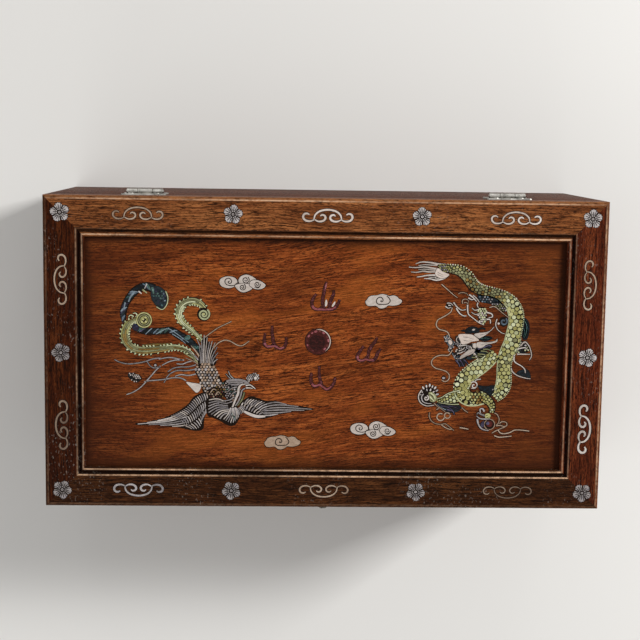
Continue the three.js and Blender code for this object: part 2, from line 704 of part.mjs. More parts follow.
const sides = ["front", "back", "left", "right"];
const cutters = {
  body_wall_front: [postHole(pivotZ)],
  lid_wall_front: [postHole(studZ)],
  body_wall_back: Object.values(hingeCentres).flatMap((centre) => screwHoles(centre, "body")),
  lid_wall_back: Object.values(hingeCentres).flatMap((centre) => screwHoles(centre, "lid")),
};
for (const side of sides) {
  const members = {
    [`body_wall_${side}`]: [bodyWallProfile(), ROSEWOOD],
    [`lid_wall_${side}`]: [lidWallProfile(), ROSEWOOD],
  };
  for (const [name, [profile, material]] of Object.entries(members)) {
    const whole = mitredMember(profile, side);
    const cut = (cutters[name] ?? []).reduce((wood, hole) => wood.subtract(hole), whole);
    addNode(name, cut, material);
  }
  const rail = mitredMember(lidFrameProfile(), side);
  addNode(`lid_frame_${side}`, rail.subtract(joinAll(borderPockets)), ROSEWOOD);
}

const panelHalfWidth = OPENING_WIDTH / 2 + PANEL_TONGUE;
const panelHalfDepth = OPENING_DEPTH / 2 + PANEL_TONGUE;
const panelLoop = rectangle(-panelHalfWidth, -panelHalfDepth, panelHalfWidth, panelHalfDepth);
const panel = slab(panelLoop, PANEL_BASE, PANEL_TOP).subtract(joinAll(panelPockets));
addNode("lid_panel", panel, PANEL_WOOD);

const bottomInset = WALL - BOTTOM_BEARING;
const bottomHalfWidth = WIDTH / 2 - bottomInset;
const bottomHalfDepth = DEPTH / 2 - bottomInset;
const bottomLoop = rectangle(-bottomHalfWidth, -bottomHalfDepth, bottomHalfWidth, bottomHalfDepth);
addNode("bottom_panel", slab(bottomLoop, 0, BOTTOM_THICKNESS), LINING_WOOD);

export default lidBox;
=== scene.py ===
# Looks of an inlaid hardwood box: woodwork, shell figures, hinges and latch.
# Shapes are written in millimetres, and a mesh is made in metres.
import math
import random

import bmesh
import bpy
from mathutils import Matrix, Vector, noise


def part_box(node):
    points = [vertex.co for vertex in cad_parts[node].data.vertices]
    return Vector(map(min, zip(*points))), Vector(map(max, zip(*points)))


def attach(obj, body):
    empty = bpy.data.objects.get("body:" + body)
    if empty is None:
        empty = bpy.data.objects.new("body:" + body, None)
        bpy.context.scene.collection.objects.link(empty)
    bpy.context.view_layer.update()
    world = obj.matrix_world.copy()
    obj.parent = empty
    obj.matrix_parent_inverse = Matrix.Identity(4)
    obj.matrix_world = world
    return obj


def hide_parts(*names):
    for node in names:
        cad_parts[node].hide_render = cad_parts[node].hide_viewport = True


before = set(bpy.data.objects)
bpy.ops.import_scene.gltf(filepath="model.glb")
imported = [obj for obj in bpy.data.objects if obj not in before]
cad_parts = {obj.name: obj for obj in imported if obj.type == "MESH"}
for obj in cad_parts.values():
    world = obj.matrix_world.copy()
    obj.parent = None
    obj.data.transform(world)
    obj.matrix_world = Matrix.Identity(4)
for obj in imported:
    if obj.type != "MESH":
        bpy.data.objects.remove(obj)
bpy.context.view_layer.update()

MM = 0.001


# Sizes read from the frame

def corners(node):
    low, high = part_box(node)
    return [v / MM for v in low], [v / MM for v in high]


(LEFT, FRONT, _), (RIGHT, _, JOINT_Z) = corners("body_wall_front")
_, (_, BACK, _) = corners("body_wall_back")
_, (LEFT_INNER, _, _) = corners("body_wall_left")
(BOTTOM_LEFT, _, _), (_, _, BOTTOM_TOP) = corners("bottom_panel")
_, (_, _, FRAME_Z) = corners("lid_wall_back")
_, (OPENING_LEFT, _, HEIGHT) = corners("lid_frame_left")
(PANEL_LEFT, PANEL_FRONT, PANEL_BASE), (PANEL_RIGHT, PANEL_BACK, PANEL_TOP) = corners("lid_panel")
WIDTH = RIGHT - LEFT
DEPTH = BACK - FRONT
WALL = LEFT_INNER - LEFT
REBATE = BOTTOM_LEFT - LEFT
FRAME_ACROSS = OPENING_LEFT - LEFT
TONGUE_ROOM = 0.3
TONGUE = OPENING_LEFT - PANEL_LEFT + TONGUE_ROOM

# Rail section: outer arris, flat face, quirk and bead
FACE_DROP = 0.2
RAIL_FACE = HEIGHT - FACE_DROP
ARRIS = 2.2
INNER_ARRIS = 0.7
BEAD_RADIUS = 1.5
BEAD_DROP = 0.15
QUIRK_WIDTH = 1.8
QUIRK_DEPTH = 2.0
SMALL_ARRIS = 0.6
MITRE_GAP = 0.05


# Finishes: shader maths as Python expressions

class Wire:
    """An output socket of one finish, with Python's own arithmetic."""

    def __init__(self, finish, socket):
        self.finish = finish
        self.socket = socket

    def maths(self, operation, *values):
        return self.finish.node("ShaderNodeMath", {"operation": operation}, dict(enumerate(values)))

    def __add__(self, other):
        return self.maths("ADD", self, other)

    __radd__ = __add__

    def __sub__(self, other):
        return self.maths("SUBTRACT", self, other)

    def __rsub__(self, other):
        return self.maths("SUBTRACT", other, self)

    def __mul__(self, other):
        return self.maths("MULTIPLY", self, other)

    __rmul__ = __mul__

    def __truediv__(self, other):
        return self.maths("DIVIDE", self, other)

    def __abs__(self):
        return self.maths("ABSOLUTE", self)

    def least(self, other):
        return self.maths("MINIMUM", self, other)

    def most(self, other):
        return self.maths("MAXIMUM", self, other)

    def rise(self, low, high):
        """0 at low, 1 at high, smooth between."""
        settings = {"interpolation_type": "SMOOTHSTEP"}
        return self.finish.node("ShaderNodeMapRange", settings, {"Value": self, 1: low, 2: high})


class Finish:
    """One material, or the world, and the nodes in it."""

    def __init__(self, name, kind="materials"):
        self.material = getattr(bpy.data, kind).new(name)
        self.material.use_nodes = True
        self.tree = self.material.node_tree
        self.tree.nodes.clear()

    def node(self, kind, settings=None, inputs=None, output=0):
        made = self.tree.nodes.new(kind)
        for key, value in (settings or {}).items():
            if key == "stops":
                self.set_stops(made.color_ramp, value)
            else:
                setattr(made, key, value)
        for key, value in (inputs or {}).items():
            socket = made.inputs[key]
            if isinstance(value, Wire):
                self.tree.links.new(value.socket, socket)
            else:
                socket.default_value = value
        return Wire(self, made.outputs[output]) if len(made.outputs) else made

    def set_stops(self, ramp, stops):
        while len(ramp.elements) < len(stops):
            ramp.elements.new(0.5)
        for element, (position, colour) in zip(ramp.elements, stops):
            element.position = position
            element.color = (*colour, 1)

    def place(self):
        """The point on the piece in millimetres, as x, y, z."""
        where = self.node("ShaderNodeTexCoord", output="Object")
        split = self.node("ShaderNodeSeparateXYZ", inputs={0: where})
        outputs = split.socket.node.outputs
        return [Wire(self, outputs[i]) * (1 / MM) for i in range(3)]

    def noise(self, x, y, z, detail=2.0, roughness=0.5, distortion=0.0):
        where = self.node("ShaderNodeCombineXYZ", inputs={0: x, 1: y, 2: z})
        inputs = {"Vector": where, "Scale": 1.0, "Detail": detail, "Roughness": roughness}
        return self.node("ShaderNodeTexNoise", {}, {**inputs, "Distortion": distortion})

    def ramp(self, value, stops):
        return self.node("ShaderNodeValToRGB", {"stops": stops}, {0: value})

    def mix(self, share, first, second):
        first, second = [v if isinstance(v, Wire) else (*v, 1) for v in (first, second)]
        return self.node("ShaderNodeMix", {"data_type": "RGBA"}, {0: share, 6: first, 7: second}, output=2)

    def bump(self, height, distance, strength):
        inputs = {"Height": height, "Distance": distance * MM, "Strength": strength}
        return self.node("ShaderNodeBump", {}, inputs)

    def surface(self, colour, roughness, normal=None, **constants):
        inputs = {"Base Color": colour if isinstance(colour, Wire) else (*colour, 1), "Roughness": roughness}
        if normal is not None:
            inputs["Normal"] = normal
        inputs.update({key.replace("_", " "): value for key, value in constants.items()})
        shader = self.node("ShaderNodeBsdfPrincipled", {}, inputs)
        self.node("ShaderNodeOutputMaterial", {}, {"Surface": shader})
        return self.material


def srgb(red, green, blue):
    """A colour written as it looks, 0 to 255, turned into light."""
    def light(value):
        value /= 255
        return value / 12.92 if value <= 0.04045 else ((value + 0.055) / 1.055) ** 2.4

    return tuple(light(v) for v in (red, green, blue))


# Wood

# Layers of grain: rates along and across the fibres per millimetre, detail, roughness, distortion
WANDER = (0.012, 0.03, 2.0)
FIGURE = (0.014, 0.12, 3.0, 0.6)
STREAK = (0.075, 1.3, 3.0, 0.62, 0.4)
DASH = (0.22, 2.2, 2.0, 0.6, 0.3)
PORES = (0.5, 2.6, 2.0, 0.6)
WANDER_REACH = 9.0
TILT_LENGTH = 55.0
PORE_DARKNESS = 0.6
GRAIN_DEPTH = 0.12
WOOD_SPECULAR = 0.03
WOOD_COAT_ROUGHNESS = 0.22


def wood(name, grain, tones, tilt=0.0, shade=None, gloss=0.42):
    """Streaky hardwood. grain is the axis that the fibres follow, tones run from dark to light."""
    finish = Finish(name)
    x, y, z = finish.place()
    along, across = (x, y) if grain == "x" else (y, x)

    def fibres(across, along_rate, across_rate, *settings):
        return finish.noise(along * along_rate, across * across_rate, z * across_rate, *settings)

    across = across + fibres(across, *WANDER) * WANDER_REACH
    if tilt:
        across = across - (along / TILT_LENGTH).maths("TANH", along / TILT_LENGTH) * tilt
    figure, streak, dash, pores = [fibres(across, *layer) for layer in (FIGURE, STREAK, DASH, PORES)]
    dark, middle, warm, light = [srgb(*tone) for tone in tones]
    value = figure * 0.4 + streak * 0.6
    colour = finish.ramp(value, [(0.36, middle), (0.5, warm), (0.62, light)])
    line = (dash * 0.5 + streak * 0.5).rise(0.425, 0.505)
    strength = 0.52 + figure.rise(0.35, 0.6) * 0.36
    colour = finish.mix((1 - line) * strength, colour, dark)
    pore = pores.rise(0.53, 0.61)
    colour = finish.mix(pore * 0.75, colour, tuple(v * PORE_DARKNESS for v in dark))
    shine = 0.0
    if shade:
        colour, shine = shade(finish, colour, x, y, z)
    normal = finish.bump(streak * 0.4 + dash * 0.5 - pore * 0.4, GRAIN_DEPTH, 0.5)
    roughness = gloss + (dash - 0.5) * 0.3 + pore * 0.25
    return finish.surface(
        colour, roughness, normal,
        Specular_IOR_Level=WOOD_SPECULAR, Coat_Weight=shine, Coat_Roughness=WOOD_COAT_ROUGHNESS,
    )


PANEL_HALF_WIDTH = WIDTH / 2 - FRAME_ACROSS
PANEL_HALF_DEPTH = DEPTH / 2 - FRAME_ACROSS
PALE_MIDDLE_X = -12.0
DARK_PASSAGE = srgb(58, 26, 11)
LIGHT_PASSAGE = srgb(168, 92, 36)
PANEL_EDGE_DARKENING = srgb(38, 20, 12)
PAINTED_FRAME_SHADOW = srgb(14, 9, 7)
FAR_TONE = srgb(54, 25, 13)


def panel_shade(finish, colour, x, y, z):
    """Darker along the panel's edges, painted shadow of the frame on its right, back and left edges, broad
    lighter and darker passages, and darker ends.
    """
    edge = (PANEL_HALF_WIDTH - abs(x)).least(PANEL_HALF_DEPTH - abs(y))
    blot = finish.noise(x * 0.03, y * 0.05, z, 3.0, 0.6)
    passage = finish.noise(x * 0.016 + 7.0, (y - x * 0.12) * 0.045, z, 2.0, 0.55)
    colour = finish.mix(passage.rise(0.5, 0.68) * 0.35, colour, DARK_PASSAGE)
    colour = finish.mix((1 - passage.rise(0.34, 0.5)) * 0.28, colour, LIGHT_PASSAGE)
    # Darker along all four edges of the panel, beside the bead
    edge_darkening = 1 - (edge + (blot - 0.5) * 12.0).rise(0.0, 10.0)
    colour = finish.mix(edge_darkening * 0.7, colour, PANEL_EDGE_DARKENING)
    # Painted shadow cast by the frame onto the panel: strongest beside the right stile, less under the back
    # rail and by the left stile
    right = 1 - (PANEL_HALF_WIDTH - x).rise(0.5, 6.5)
    top = (1 - (PANEL_HALF_DEPTH - y).rise(0.5, 4.5)) * 0.7
    left = (1 - (PANEL_HALF_WIDTH + x).rise(0.0, 5.0)) * 0.4
    colour = finish.mix(right.most(top).most(left) * 0.85, colour, PAINTED_FRAME_SHADOW)
    far_x = (abs(x - PALE_MIDDLE_X) / PANEL_HALF_WIDTH).rise(0.3, 1.0)
    far_y = (0.0 - y / PANEL_HALF_DEPTH).rise(0.2, 1.1)
    far = far_x * 0.6 + far_y * 0.2 + (blot - 0.5) * 0.5
    colour = finish.mix(far.most(0.0), colour, FAR_TONE)
    return colour, 0.0


RUBBED_AND_LIT_EDGE = srgb(150, 104, 68)
PAINTED_EDGE_HIGHLIGHT = srgb(216, 172, 134)
SCUFF = srgb(150, 138, 128)
PAINTED_QUIRK_SHADE = srgb(20, 11, 8)
DIM_TONE = srgb(20, 10, 6)
RIDGE_REACH = 0.7


def rail_wear_and_painted_light(arris, inner, bead, scuff):
    """Painted highlights on the edges by so much each, painted shade in the quirk, a lighter outer edge of
    rubbed wear and painted highlight, and scuffs.
    """
    ridges = (arris, 2.0), (inner, FRAME_ACROSS - 5.6), (bead, FRAME_ACROSS - 1.6)

    def shade(finish, colour, x, y, z):
        edge = (WIDTH / 2 - abs(x)).least(DEPTH / 2 - abs(y))
        top = z.rise(RAIL_FACE - 3.0, RAIL_FACE - 1.8)
        long_variation = finish.noise(x * 0.014, y * 0.03, 3.0, 2.0, 0.5).rise(0.36, 0.6)
        fine_variation = finish.noise(x * 0.35, y * 0.35, z, 3.0, 0.6).rise(0.36, 0.56)
        # Painted shade in the quirk beside the bead
        past_quirk = edge.rise(FRAME_ACROSS - 3.3, FRAME_ACROSS - 2.5)
        quirk = edge.rise(FRAME_ACROSS - 6.0, FRAME_ACROSS - 4.6) * (1 - past_quirk)
        colour = finish.mix(quirk * top * 0.85, colour, PAINTED_QUIRK_SHADE)
        dim = (0.0 - y / DEPTH).rise(0.0, 0.5) * 0.22 + (abs(x) / WIDTH).rise(0.15, 0.5) * 0.14
        colour = finish.mix(dim * top, colour, DIM_TONE)
        # A lighter outer edge: partly rubbed wear, partly painted highlight, more on rails with a high arris
        # share
        worn_and_lit = 1 - edge.rise(0.4, 2.8)
        colour = finish.mix(worn_and_lit * top * fine_variation * (0.12 + 0.5 * arris), colour, RUBBED_AND_LIT_EDGE)
        # Painted highlights along the outer arris, inner arris and bead crest; the same mask sets the coat
        # weight
        ridge_highlight = 0.0
        for share, inset in ridges:
            ridge_highlight = ridge_highlight + (1 - abs(edge - inset).rise(RIDGE_REACH * 0.4, RIDGE_REACH)) * share
        ridge_highlight = ridge_highlight * top * (0.3 + 0.7 * long_variation) * (0.45 + 0.55 * fine_variation)
        colour = finish.mix(ridge_highlight, colour, PAINTED_EDGE_HIGHLIGHT)
        cluster = finish.noise(x * 0.03, y * 0.03, z * 0.03, 2.0, 0.5).rise(0.46, 0.62)
        speck = finish.noise(x * 0.8, y * 0.45, z * 0.8, 2.0, 0.6).rise(0.6, 0.7)
        colour = finish.mix(speck * cluster * scuff, colour, SCUFF)
        return colour, ridge_highlight.least(1.0)

    return shade


PANEL_TONES = (32, 13, 7), (96, 44, 19), (131, 63, 28), (170, 93, 44)
BACK_TONES = (32, 16, 8), (91, 49, 25), (124, 71, 38), (162, 102, 58)
FRONT_TONES = (14, 7, 4), (46, 23, 11), (65, 35, 17), (96, 57, 30)
LEFT_TONES = (14, 6, 3), (44, 17, 6), (64, 26, 9), (92, 46, 20)
RIGHT_TONES = (18, 7, 4), (66, 26, 13), (92, 39, 20), (126, 63, 34)
WALL_TONES = (24, 11, 6), (60, 28, 14), (82, 40, 20), (112, 62, 34)
LINING_TONES = (66, 36, 20), (106, 62, 35), (132, 82, 48), (158, 104, 66)

# Each rail's shares of painted highlight on arris, inner arris and bead follow the light from the back and
# the right
WOODS = {
    "panel": wood("panel_wood", "x", PANEL_TONES, 9.0, panel_shade, 0.40),
    "back": wood("back_rail_wood", "x", BACK_TONES, 0.0, rail_wear_and_painted_light(0.8, 0.05, 0.9, 0.15), 0.40),
    "front": wood("front_rail_wood", "x", FRONT_TONES, 0.0, rail_wear_and_painted_light(0.08, 0.85, 0.85, 0.3)),
    "left": wood("left_stile_wood", "y", LEFT_TONES, 0.0, rail_wear_and_painted_light(0.1, 0.3, 0.45, 0.4)),
    "right": wood("right_stile_wood", "y", RIGHT_TONES, 0.0, rail_wear_and_painted_light(0.5, 0.2, 0.3, 0.25)),
    "wall_long": wood("long_wall_wood", "x", WALL_TONES, gloss=0.44),
    "wall_short": wood("short_wall_wood", "y", WALL_TONES, gloss=0.44),
    "lining": wood("bottom_wood", "x", LINING_TONES, gloss=0.55),
}


# Shell, mastic and metal

def shell(name, dark, middle, light, flash, grey=0.12, roughness=0.3):
    """Polished shell: mottled tones, a faint coloured flash and a tone of its own for each tile."""
    finish = Finish(f"{name}_shell")
    x, y, z = finish.place()
    tile = finish.node("ShaderNodeAttribute", {"attribute_name": "tile_tone"}, output="Fac")
    cloudy = finish.noise(x * 0.35, y * 0.55, z, 3.0, 0.6, 0.4)
    fine = finish.noise(x * 1.6 + tile * 40.0, y * 1.6, z, 2.0, 0.5)
    value = cloudy * 0.6 + fine * 0.35 + tile * 0.35 - 0.17
    colour = finish.ramp(value, [(0.2, srgb(*dark)), (0.48, srgb(*middle)), (0.75, srgb(*light))])
    sheen = finish.noise(x * 0.5 + 31.0, y * 0.8, z + tile * 9.0, 2.0, 0.5)
    colour = finish.mix(sheen.rise(0.5, 0.68) * grey, colour, srgb(*flash))
    normal = finish.bump(fine, 0.02, 0.3)
    return finish.surface(
        colour, roughness, normal, Specular_IOR_Level=0.08, Coat_Weight=0.06, Coat_Roughness=0.12,
    )


def mastic():
    finish = Finish("dark_mastic")
    x, y, z = finish.place()
    grit = finish.noise(x * 2.0, y * 2.0, z * 2.0, 3.0, 0.6)
    colour = finish.ramp(grit, [(0.3, srgb(12, 8, 6)), (0.7, srgb(30, 20, 14))])
    return finish.surface(colour, 0.7, finish.bump(grit, 0.05, 0.5), Specular_IOR_Level=0.05)


# Dark, middle and light tone, flash, its strength, roughness
SHELL_TONES = {
    "white": ((142, 130, 121), (180, 168, 158), (208, 199, 192), (206, 186, 190)),
    "pearly": ((160, 143, 132), (194, 178, 166), (220, 207, 198), (216, 196, 196)),
    "silver": ((96, 90, 88), (144, 136, 133), (192, 184, 180), (146, 142, 160), 0.3),
    "cream": ((116, 92, 74), (154, 130, 110), (186, 164, 144), (176, 160, 140)),
    "faded": ((84, 64, 52), (116, 96, 80), (146, 126, 108), (130, 112, 96)),
    "green": ((112, 106, 56), (154, 149, 92), (192, 187, 136), (180, 190, 130), 0.3),
    "pale_green": ((142, 144, 106), (180, 182, 142), (206, 207, 172), (186, 200, 160), 0.3),
    "dim_green": ((82, 78, 52), (118, 116, 82), (158, 156, 116), (140, 150, 110), 0.3),
    "ochre": ((76, 52, 22), (112, 86, 42), (156, 130, 76), (150, 140, 70), 0.2),
    "ink": ((4, 5, 7), (13, 15, 18), (40, 48, 52), (26, 48, 60), 0.4),
    "teal": ((24, 38, 34), (52, 74, 66), (108, 134, 122), (84, 122, 140), 0.4),
    "slate": ((44, 50, 58), (84, 94, 104), (140, 152, 158), (110, 140, 160), 0.4),
    "violet": ((22, 18, 28), (46, 40, 56), (96, 90, 112), (60, 76, 112), 0.4),
    "wine": ((40, 13, 10), (74, 30, 25), (124, 66, 62), (150, 88, 98), 0.3, 0.25),
    "rose": ((104, 46, 46), (150, 84, 86), (192, 138, 142), (170, 116, 140), 0.3, 0.25),
    "garnet": ((28, 7, 5), (52, 16, 11), (86, 34, 28), (96, 40, 38), 0.3, 0.2),
}
SHELLS = {name: shell(name, *tones) for name, tones in SHELL_TONES.items()}
SHELLS["mastic"] = mastic()


def metal(name, tones, roughness):
    finish = Finish(name)
    x, y, z = finish.place()
    tarnish = finish.noise(x * 0.25, y * 0.25, z * 0.25, 4.0, 0.6)
    scratch = finish.noise(x * 0.6, y * 6.0, z * 6.0, 3.0, 0.6)
    dark, light = tones
    colour = finish.ramp(tarnish * 0.7 + scratch * 0.3, [(0.35, dark), (0.62, light)])
    rough = roughness + (tarnish - 0.5) * 0.3
    return finish.surface(colour, rough, finish.bump(scratch, 0.02, 0.25), Metallic=1.0)


WHITE_METAL = metal("white_metal", [srgb(104, 101, 95), srgb(186, 183, 176)], 0.3)


# Meshes

SHARP_DEGREES = 35


def add(name, data):
    """A new object in the scene."""
    holder = bpy.data.objects.new(name, data)
    bpy.context.scene.collection.objects.link(holder)
    return holder


def link(name, mesh, materials, body, node, slot):
    """Turns a bmesh in millimetres into a piece that rides on a body and stands for a node."""
    bmesh.ops.scale(mesh, vec=(MM, MM, MM), verts=mesh.verts)
    data = bpy.data.meshes.new(name)
    mesh.to_mesh(data)
    mesh.free()
    for material in materials:
        data.materials.append(material)
    piece = add(name, data)
    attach(piece, body)
    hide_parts(node)
    return piece


def smooth_by_angle(piece):
    mesh = piece.data
    mesh.polygons.foreach_set("use_smooth", [True] * len(mesh.polygons))
    mesh.set_sharp_from_angle(angle=math.radians(SHARP_DEGREES))


def polar(x, y, reach, degrees, squash=1.0):
    """The point at a distance and an angle from x, y."""
    angle = math.radians(degrees)
    return x + reach * math.cos(angle), y + reach * squash * math.sin(angle)


def arc(cx, cz, radius, start, end, steps):
    """Points on an arc, from start to end in degrees."""
    return [polar(cx, cz, radius, start + (end - start) * i / steps) for i in range(steps + 1)]


def left_of(way):
    return Vector((-way.y, way.x))


def signed_area(outline):
    """Twice the area, positive where the outline runs counter-clockwise."""
    return sum(a[0] * b[1] - b[0] * a[1] for a, b in zip(outline, outline[1:] + outline[:1]))


def moved_left(outline, distance):
    """The closed outline with each point moved to the left of its direction."""
    count = len(outline)
    ring = []
    for i in range(count):
        before, here, after = (Vector(outline[(i + k) % count][:2]) for k in (-1, 0, 1))
        ring.append(here + left_of((after - before).normalized()) * distance)
    return ring


def on_curve(a, b, c, d, t):
    """The point at share t from b to c on the smooth curve through all four."""
    return 0.5 * (2 * b + (c - a) * t + (2 * a - 5 * b + 4 * c - d) * t**2 + (3 * b - a - 3 * c + d) * t**3)


def mitred(name, side, profile, material, body, node, slot, steps=48, wear=0.0):
    """A member of a mitred frame. The profile gives distance in from the outer face, and height."""
    across = side in ("front", "back")
    half_length = (WIDTH if across else DEPTH) / 2
    half_away = (DEPTH if across else WIDTH) / 2
    sign = -1 if side in ("front", "left") else 1
    mesh = bmesh.new()
    rings = []
    for step in range(steps + 1):
        share = 2 * step / steps - 1
        ring = []
        for inset, z in profile:
            along = share * (half_length - inset - MITRE_GAP)
            if wear:
                rub = noise.noise(Vector((along * 0.07, inset * 0.3 + sign * 40, z * 0.2 + half_length)))
                z = z - wear * max(rub, 0.0)
            away = sign * (half_away - inset)
            ring.append(mesh.verts.new((along, away, z) if across else (away, along, z)))
        rings.append(ring)
    count = len(profile)
    for first, second in zip(rings, rings[1:]):
        for i in range(count):
            j = (i + 1) % count
            mesh.faces.new((first[i], first[j], second[j], second[i]))
    mesh.faces.new(rings[0])
    mesh.faces.new(list(reversed(rings[-1])))
    bmesh.ops.recalc_face_normals(mesh, faces=mesh.faces)
    smooth_by_angle(link(name, mesh, [material], body, node, slot))


def rail_profile():
    bead_centre = FRAME_ACROSS - BEAD_RADIUS
    bead_z = HEIGHT - BEAD_DROP - FACE_DROP - BEAD_RADIUS
    flat_end = FRAME_ACROSS - 2 * BEAD_RADIUS - QUIRK_WIDTH
    return [
        (0, FRAME_Z),
        *arc(ARRIS, RAIL_FACE - ARRIS, ARRIS, 180, 90, 8),
        *arc(flat_end - INNER_ARRIS, RAIL_FACE - INNER_ARRIS, INNER_ARRIS, 90, 10, 5),
        (flat_end + QUIRK_WIDTH * 0.45, RAIL_FACE - QUIRK_DEPTH),
        *arc(bead_centre, bead_z, BEAD_RADIUS, 175, 0, 10),
        (FRAME_ACROSS, PANEL_TOP),
        (FRAME_ACROSS - TONGUE, PANEL_TOP),
        (FRAME_ACROSS - TONGUE, PANEL_BASE),
        (FRAME_ACROSS - SMALL_ARRIS, PANEL_BASE),
        (FRAME_ACROSS, PANEL_BASE - SMALL_ARRIS),
        *arc(FRAME_ACROSS - SMALL_ARRIS, FRAME_Z + SMALL_ARRIS, SMALL_ARRIS, 0, -90, 3),
    ]


def body_wall_profile():
    r = SMALL_ARRIS
    return [
        *arc(r, r, r, 270, 180, 3),
        *arc(r, JOINT_Z - r, r, 180, 90, 3),
        *arc(WALL - r, JOINT_Z - r, r, 90, 0, 3),
        (WALL, BOTTOM_TOP),
        (REBATE, BOTTOM_TOP),
        (REBATE, 0),
    ]


def lid_wall_profile():
    r = SMALL_ARRIS
    return [
        *arc(r, JOINT_Z + r, r, 270, 180, 3),
        (0, FRAME_Z),
        (WALL, FRAME_Z),
        *arc(WALL - r, JOINT_Z + r, r, 0, -90, 3),
    ]


for side in ("front", "back", "left", "right"):
    wall = WOODS["wall_long" if side in ("front", "back") else "wall_short"]
    for part, profile in (("body_wall", body_wall_profile()), ("lid_wall", lid_wall_profile())):
        node = f"{part}_{side}"
        body = "box_body" if part == "body_wall" else "lid"
        mitred(f"{node}_dressed", side, profile, wall, body, node, "rosewood")
    node = f"lid_frame_{side}"
    mitred(f"{node}_moulded", side, rail_profile(), WOODS[side], "lid", node, "rosewood", 96, 0.12)


def flat_board(name, low, high, material, body, node, slot):
    mesh = bmesh.new()
    bmesh.ops.create_cube(mesh, size=1.0)
    for vert in mesh.verts:
        vert.co = Vector([low[i] if vert.co[i] < 0 else high[i] for i in range(3)])
    bmesh.ops.bevel(mesh, geom=mesh.edges[:], offset=SMALL_ARRIS / 2, segments=2, affect="EDGES")
    smooth_by_angle(link(name, mesh, [material], body, node, slot))


flat_board(
    "lid_panel_board",
    (PANEL_LEFT, PANEL_FRONT, PANEL_BASE + 0.05),
    (PANEL_RIGHT, PANEL_BACK, PANEL_TOP),
    WOODS["panel"], "lid", "lid_panel", "panel_wood",
)
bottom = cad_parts["bottom_panel"]
bottom.data.materials.clear()
bottom.data.materials.append(WOODS["lining"])


# Shell figures

LAYER = 0.018
RIM_DROP = 0.8
TILE_SINK = 0.3
TILE_EDGE = 0.07
THINNEST = 0.08
END_STRETCH = 0.09
PLAIN_HALF = 0.4
CURVE_STEPS = 12


def evenly(points, spacing):
    """Points [x, y, half width] at even steps on a smooth line through the given ones."""
    points = [Vector((*p, PLAIN_HALF)) if len(p) == 2 else Vector(p) for p in points]
    ends = [2 * points[0] - points[1], *points, 2 * points[-1] - points[-2]]
    fine = []
    for four in zip(ends, ends[1:], ends[2:], ends[3:]):
        fine += [on_curve(*four, i / CURVE_STEPS) for i in range(CURVE_STEPS)]
    fine.append(points[-1])
    lengths = [0.0]
    for a, b in zip(fine, fine[1:]):
        lengths.append(lengths[-1] + (b.xy - a.xy).length)
    count = max(2, round(lengths[-1] / spacing))
    line = []
    at = 0
    for i in range(count + 1):
        target = lengths[-1] * i / count
        while at < len(lengths) - 2 and lengths[at + 1] < target:
            at += 1
        span = lengths[at + 1] - lengths[at]
        line.append(fine[at].lerp(fine[at + 1], (target - lengths[at]) / span if span else 0))
    return line


def headings(line):
    """The unit direction of the line at each of its points."""
    count = len(line)
    return [(line[min(i + 1, count - 1)].xy - line[max(i - 1, 0)].xy).normalized() for i in range(count)]


def turned_to(points, x, y, turn):
    """Points drawn round 0, 0, turned by degrees and moved to x, y."""
    cos, sin = math.cos(math.radians(turn)), math.sin(math.radians(turn))
    return [(x + p[0] * cos - p[1] * sin, y + p[0] * sin + p[1] * cos, *p[2:]) for p in points]


def spiral(cx, cy, inner, outer, turns, start, half):
    """A spiral from the inside out. A negative number of turns goes clockwise."""
    count = max(8, round(abs(turns) * 14))
    shares = [i / count for i in range(count + 1)]
    return [(*polar(cx, cy, inner + (outer - inner) * s, start + 360 * turns * s), half) for s in shares]


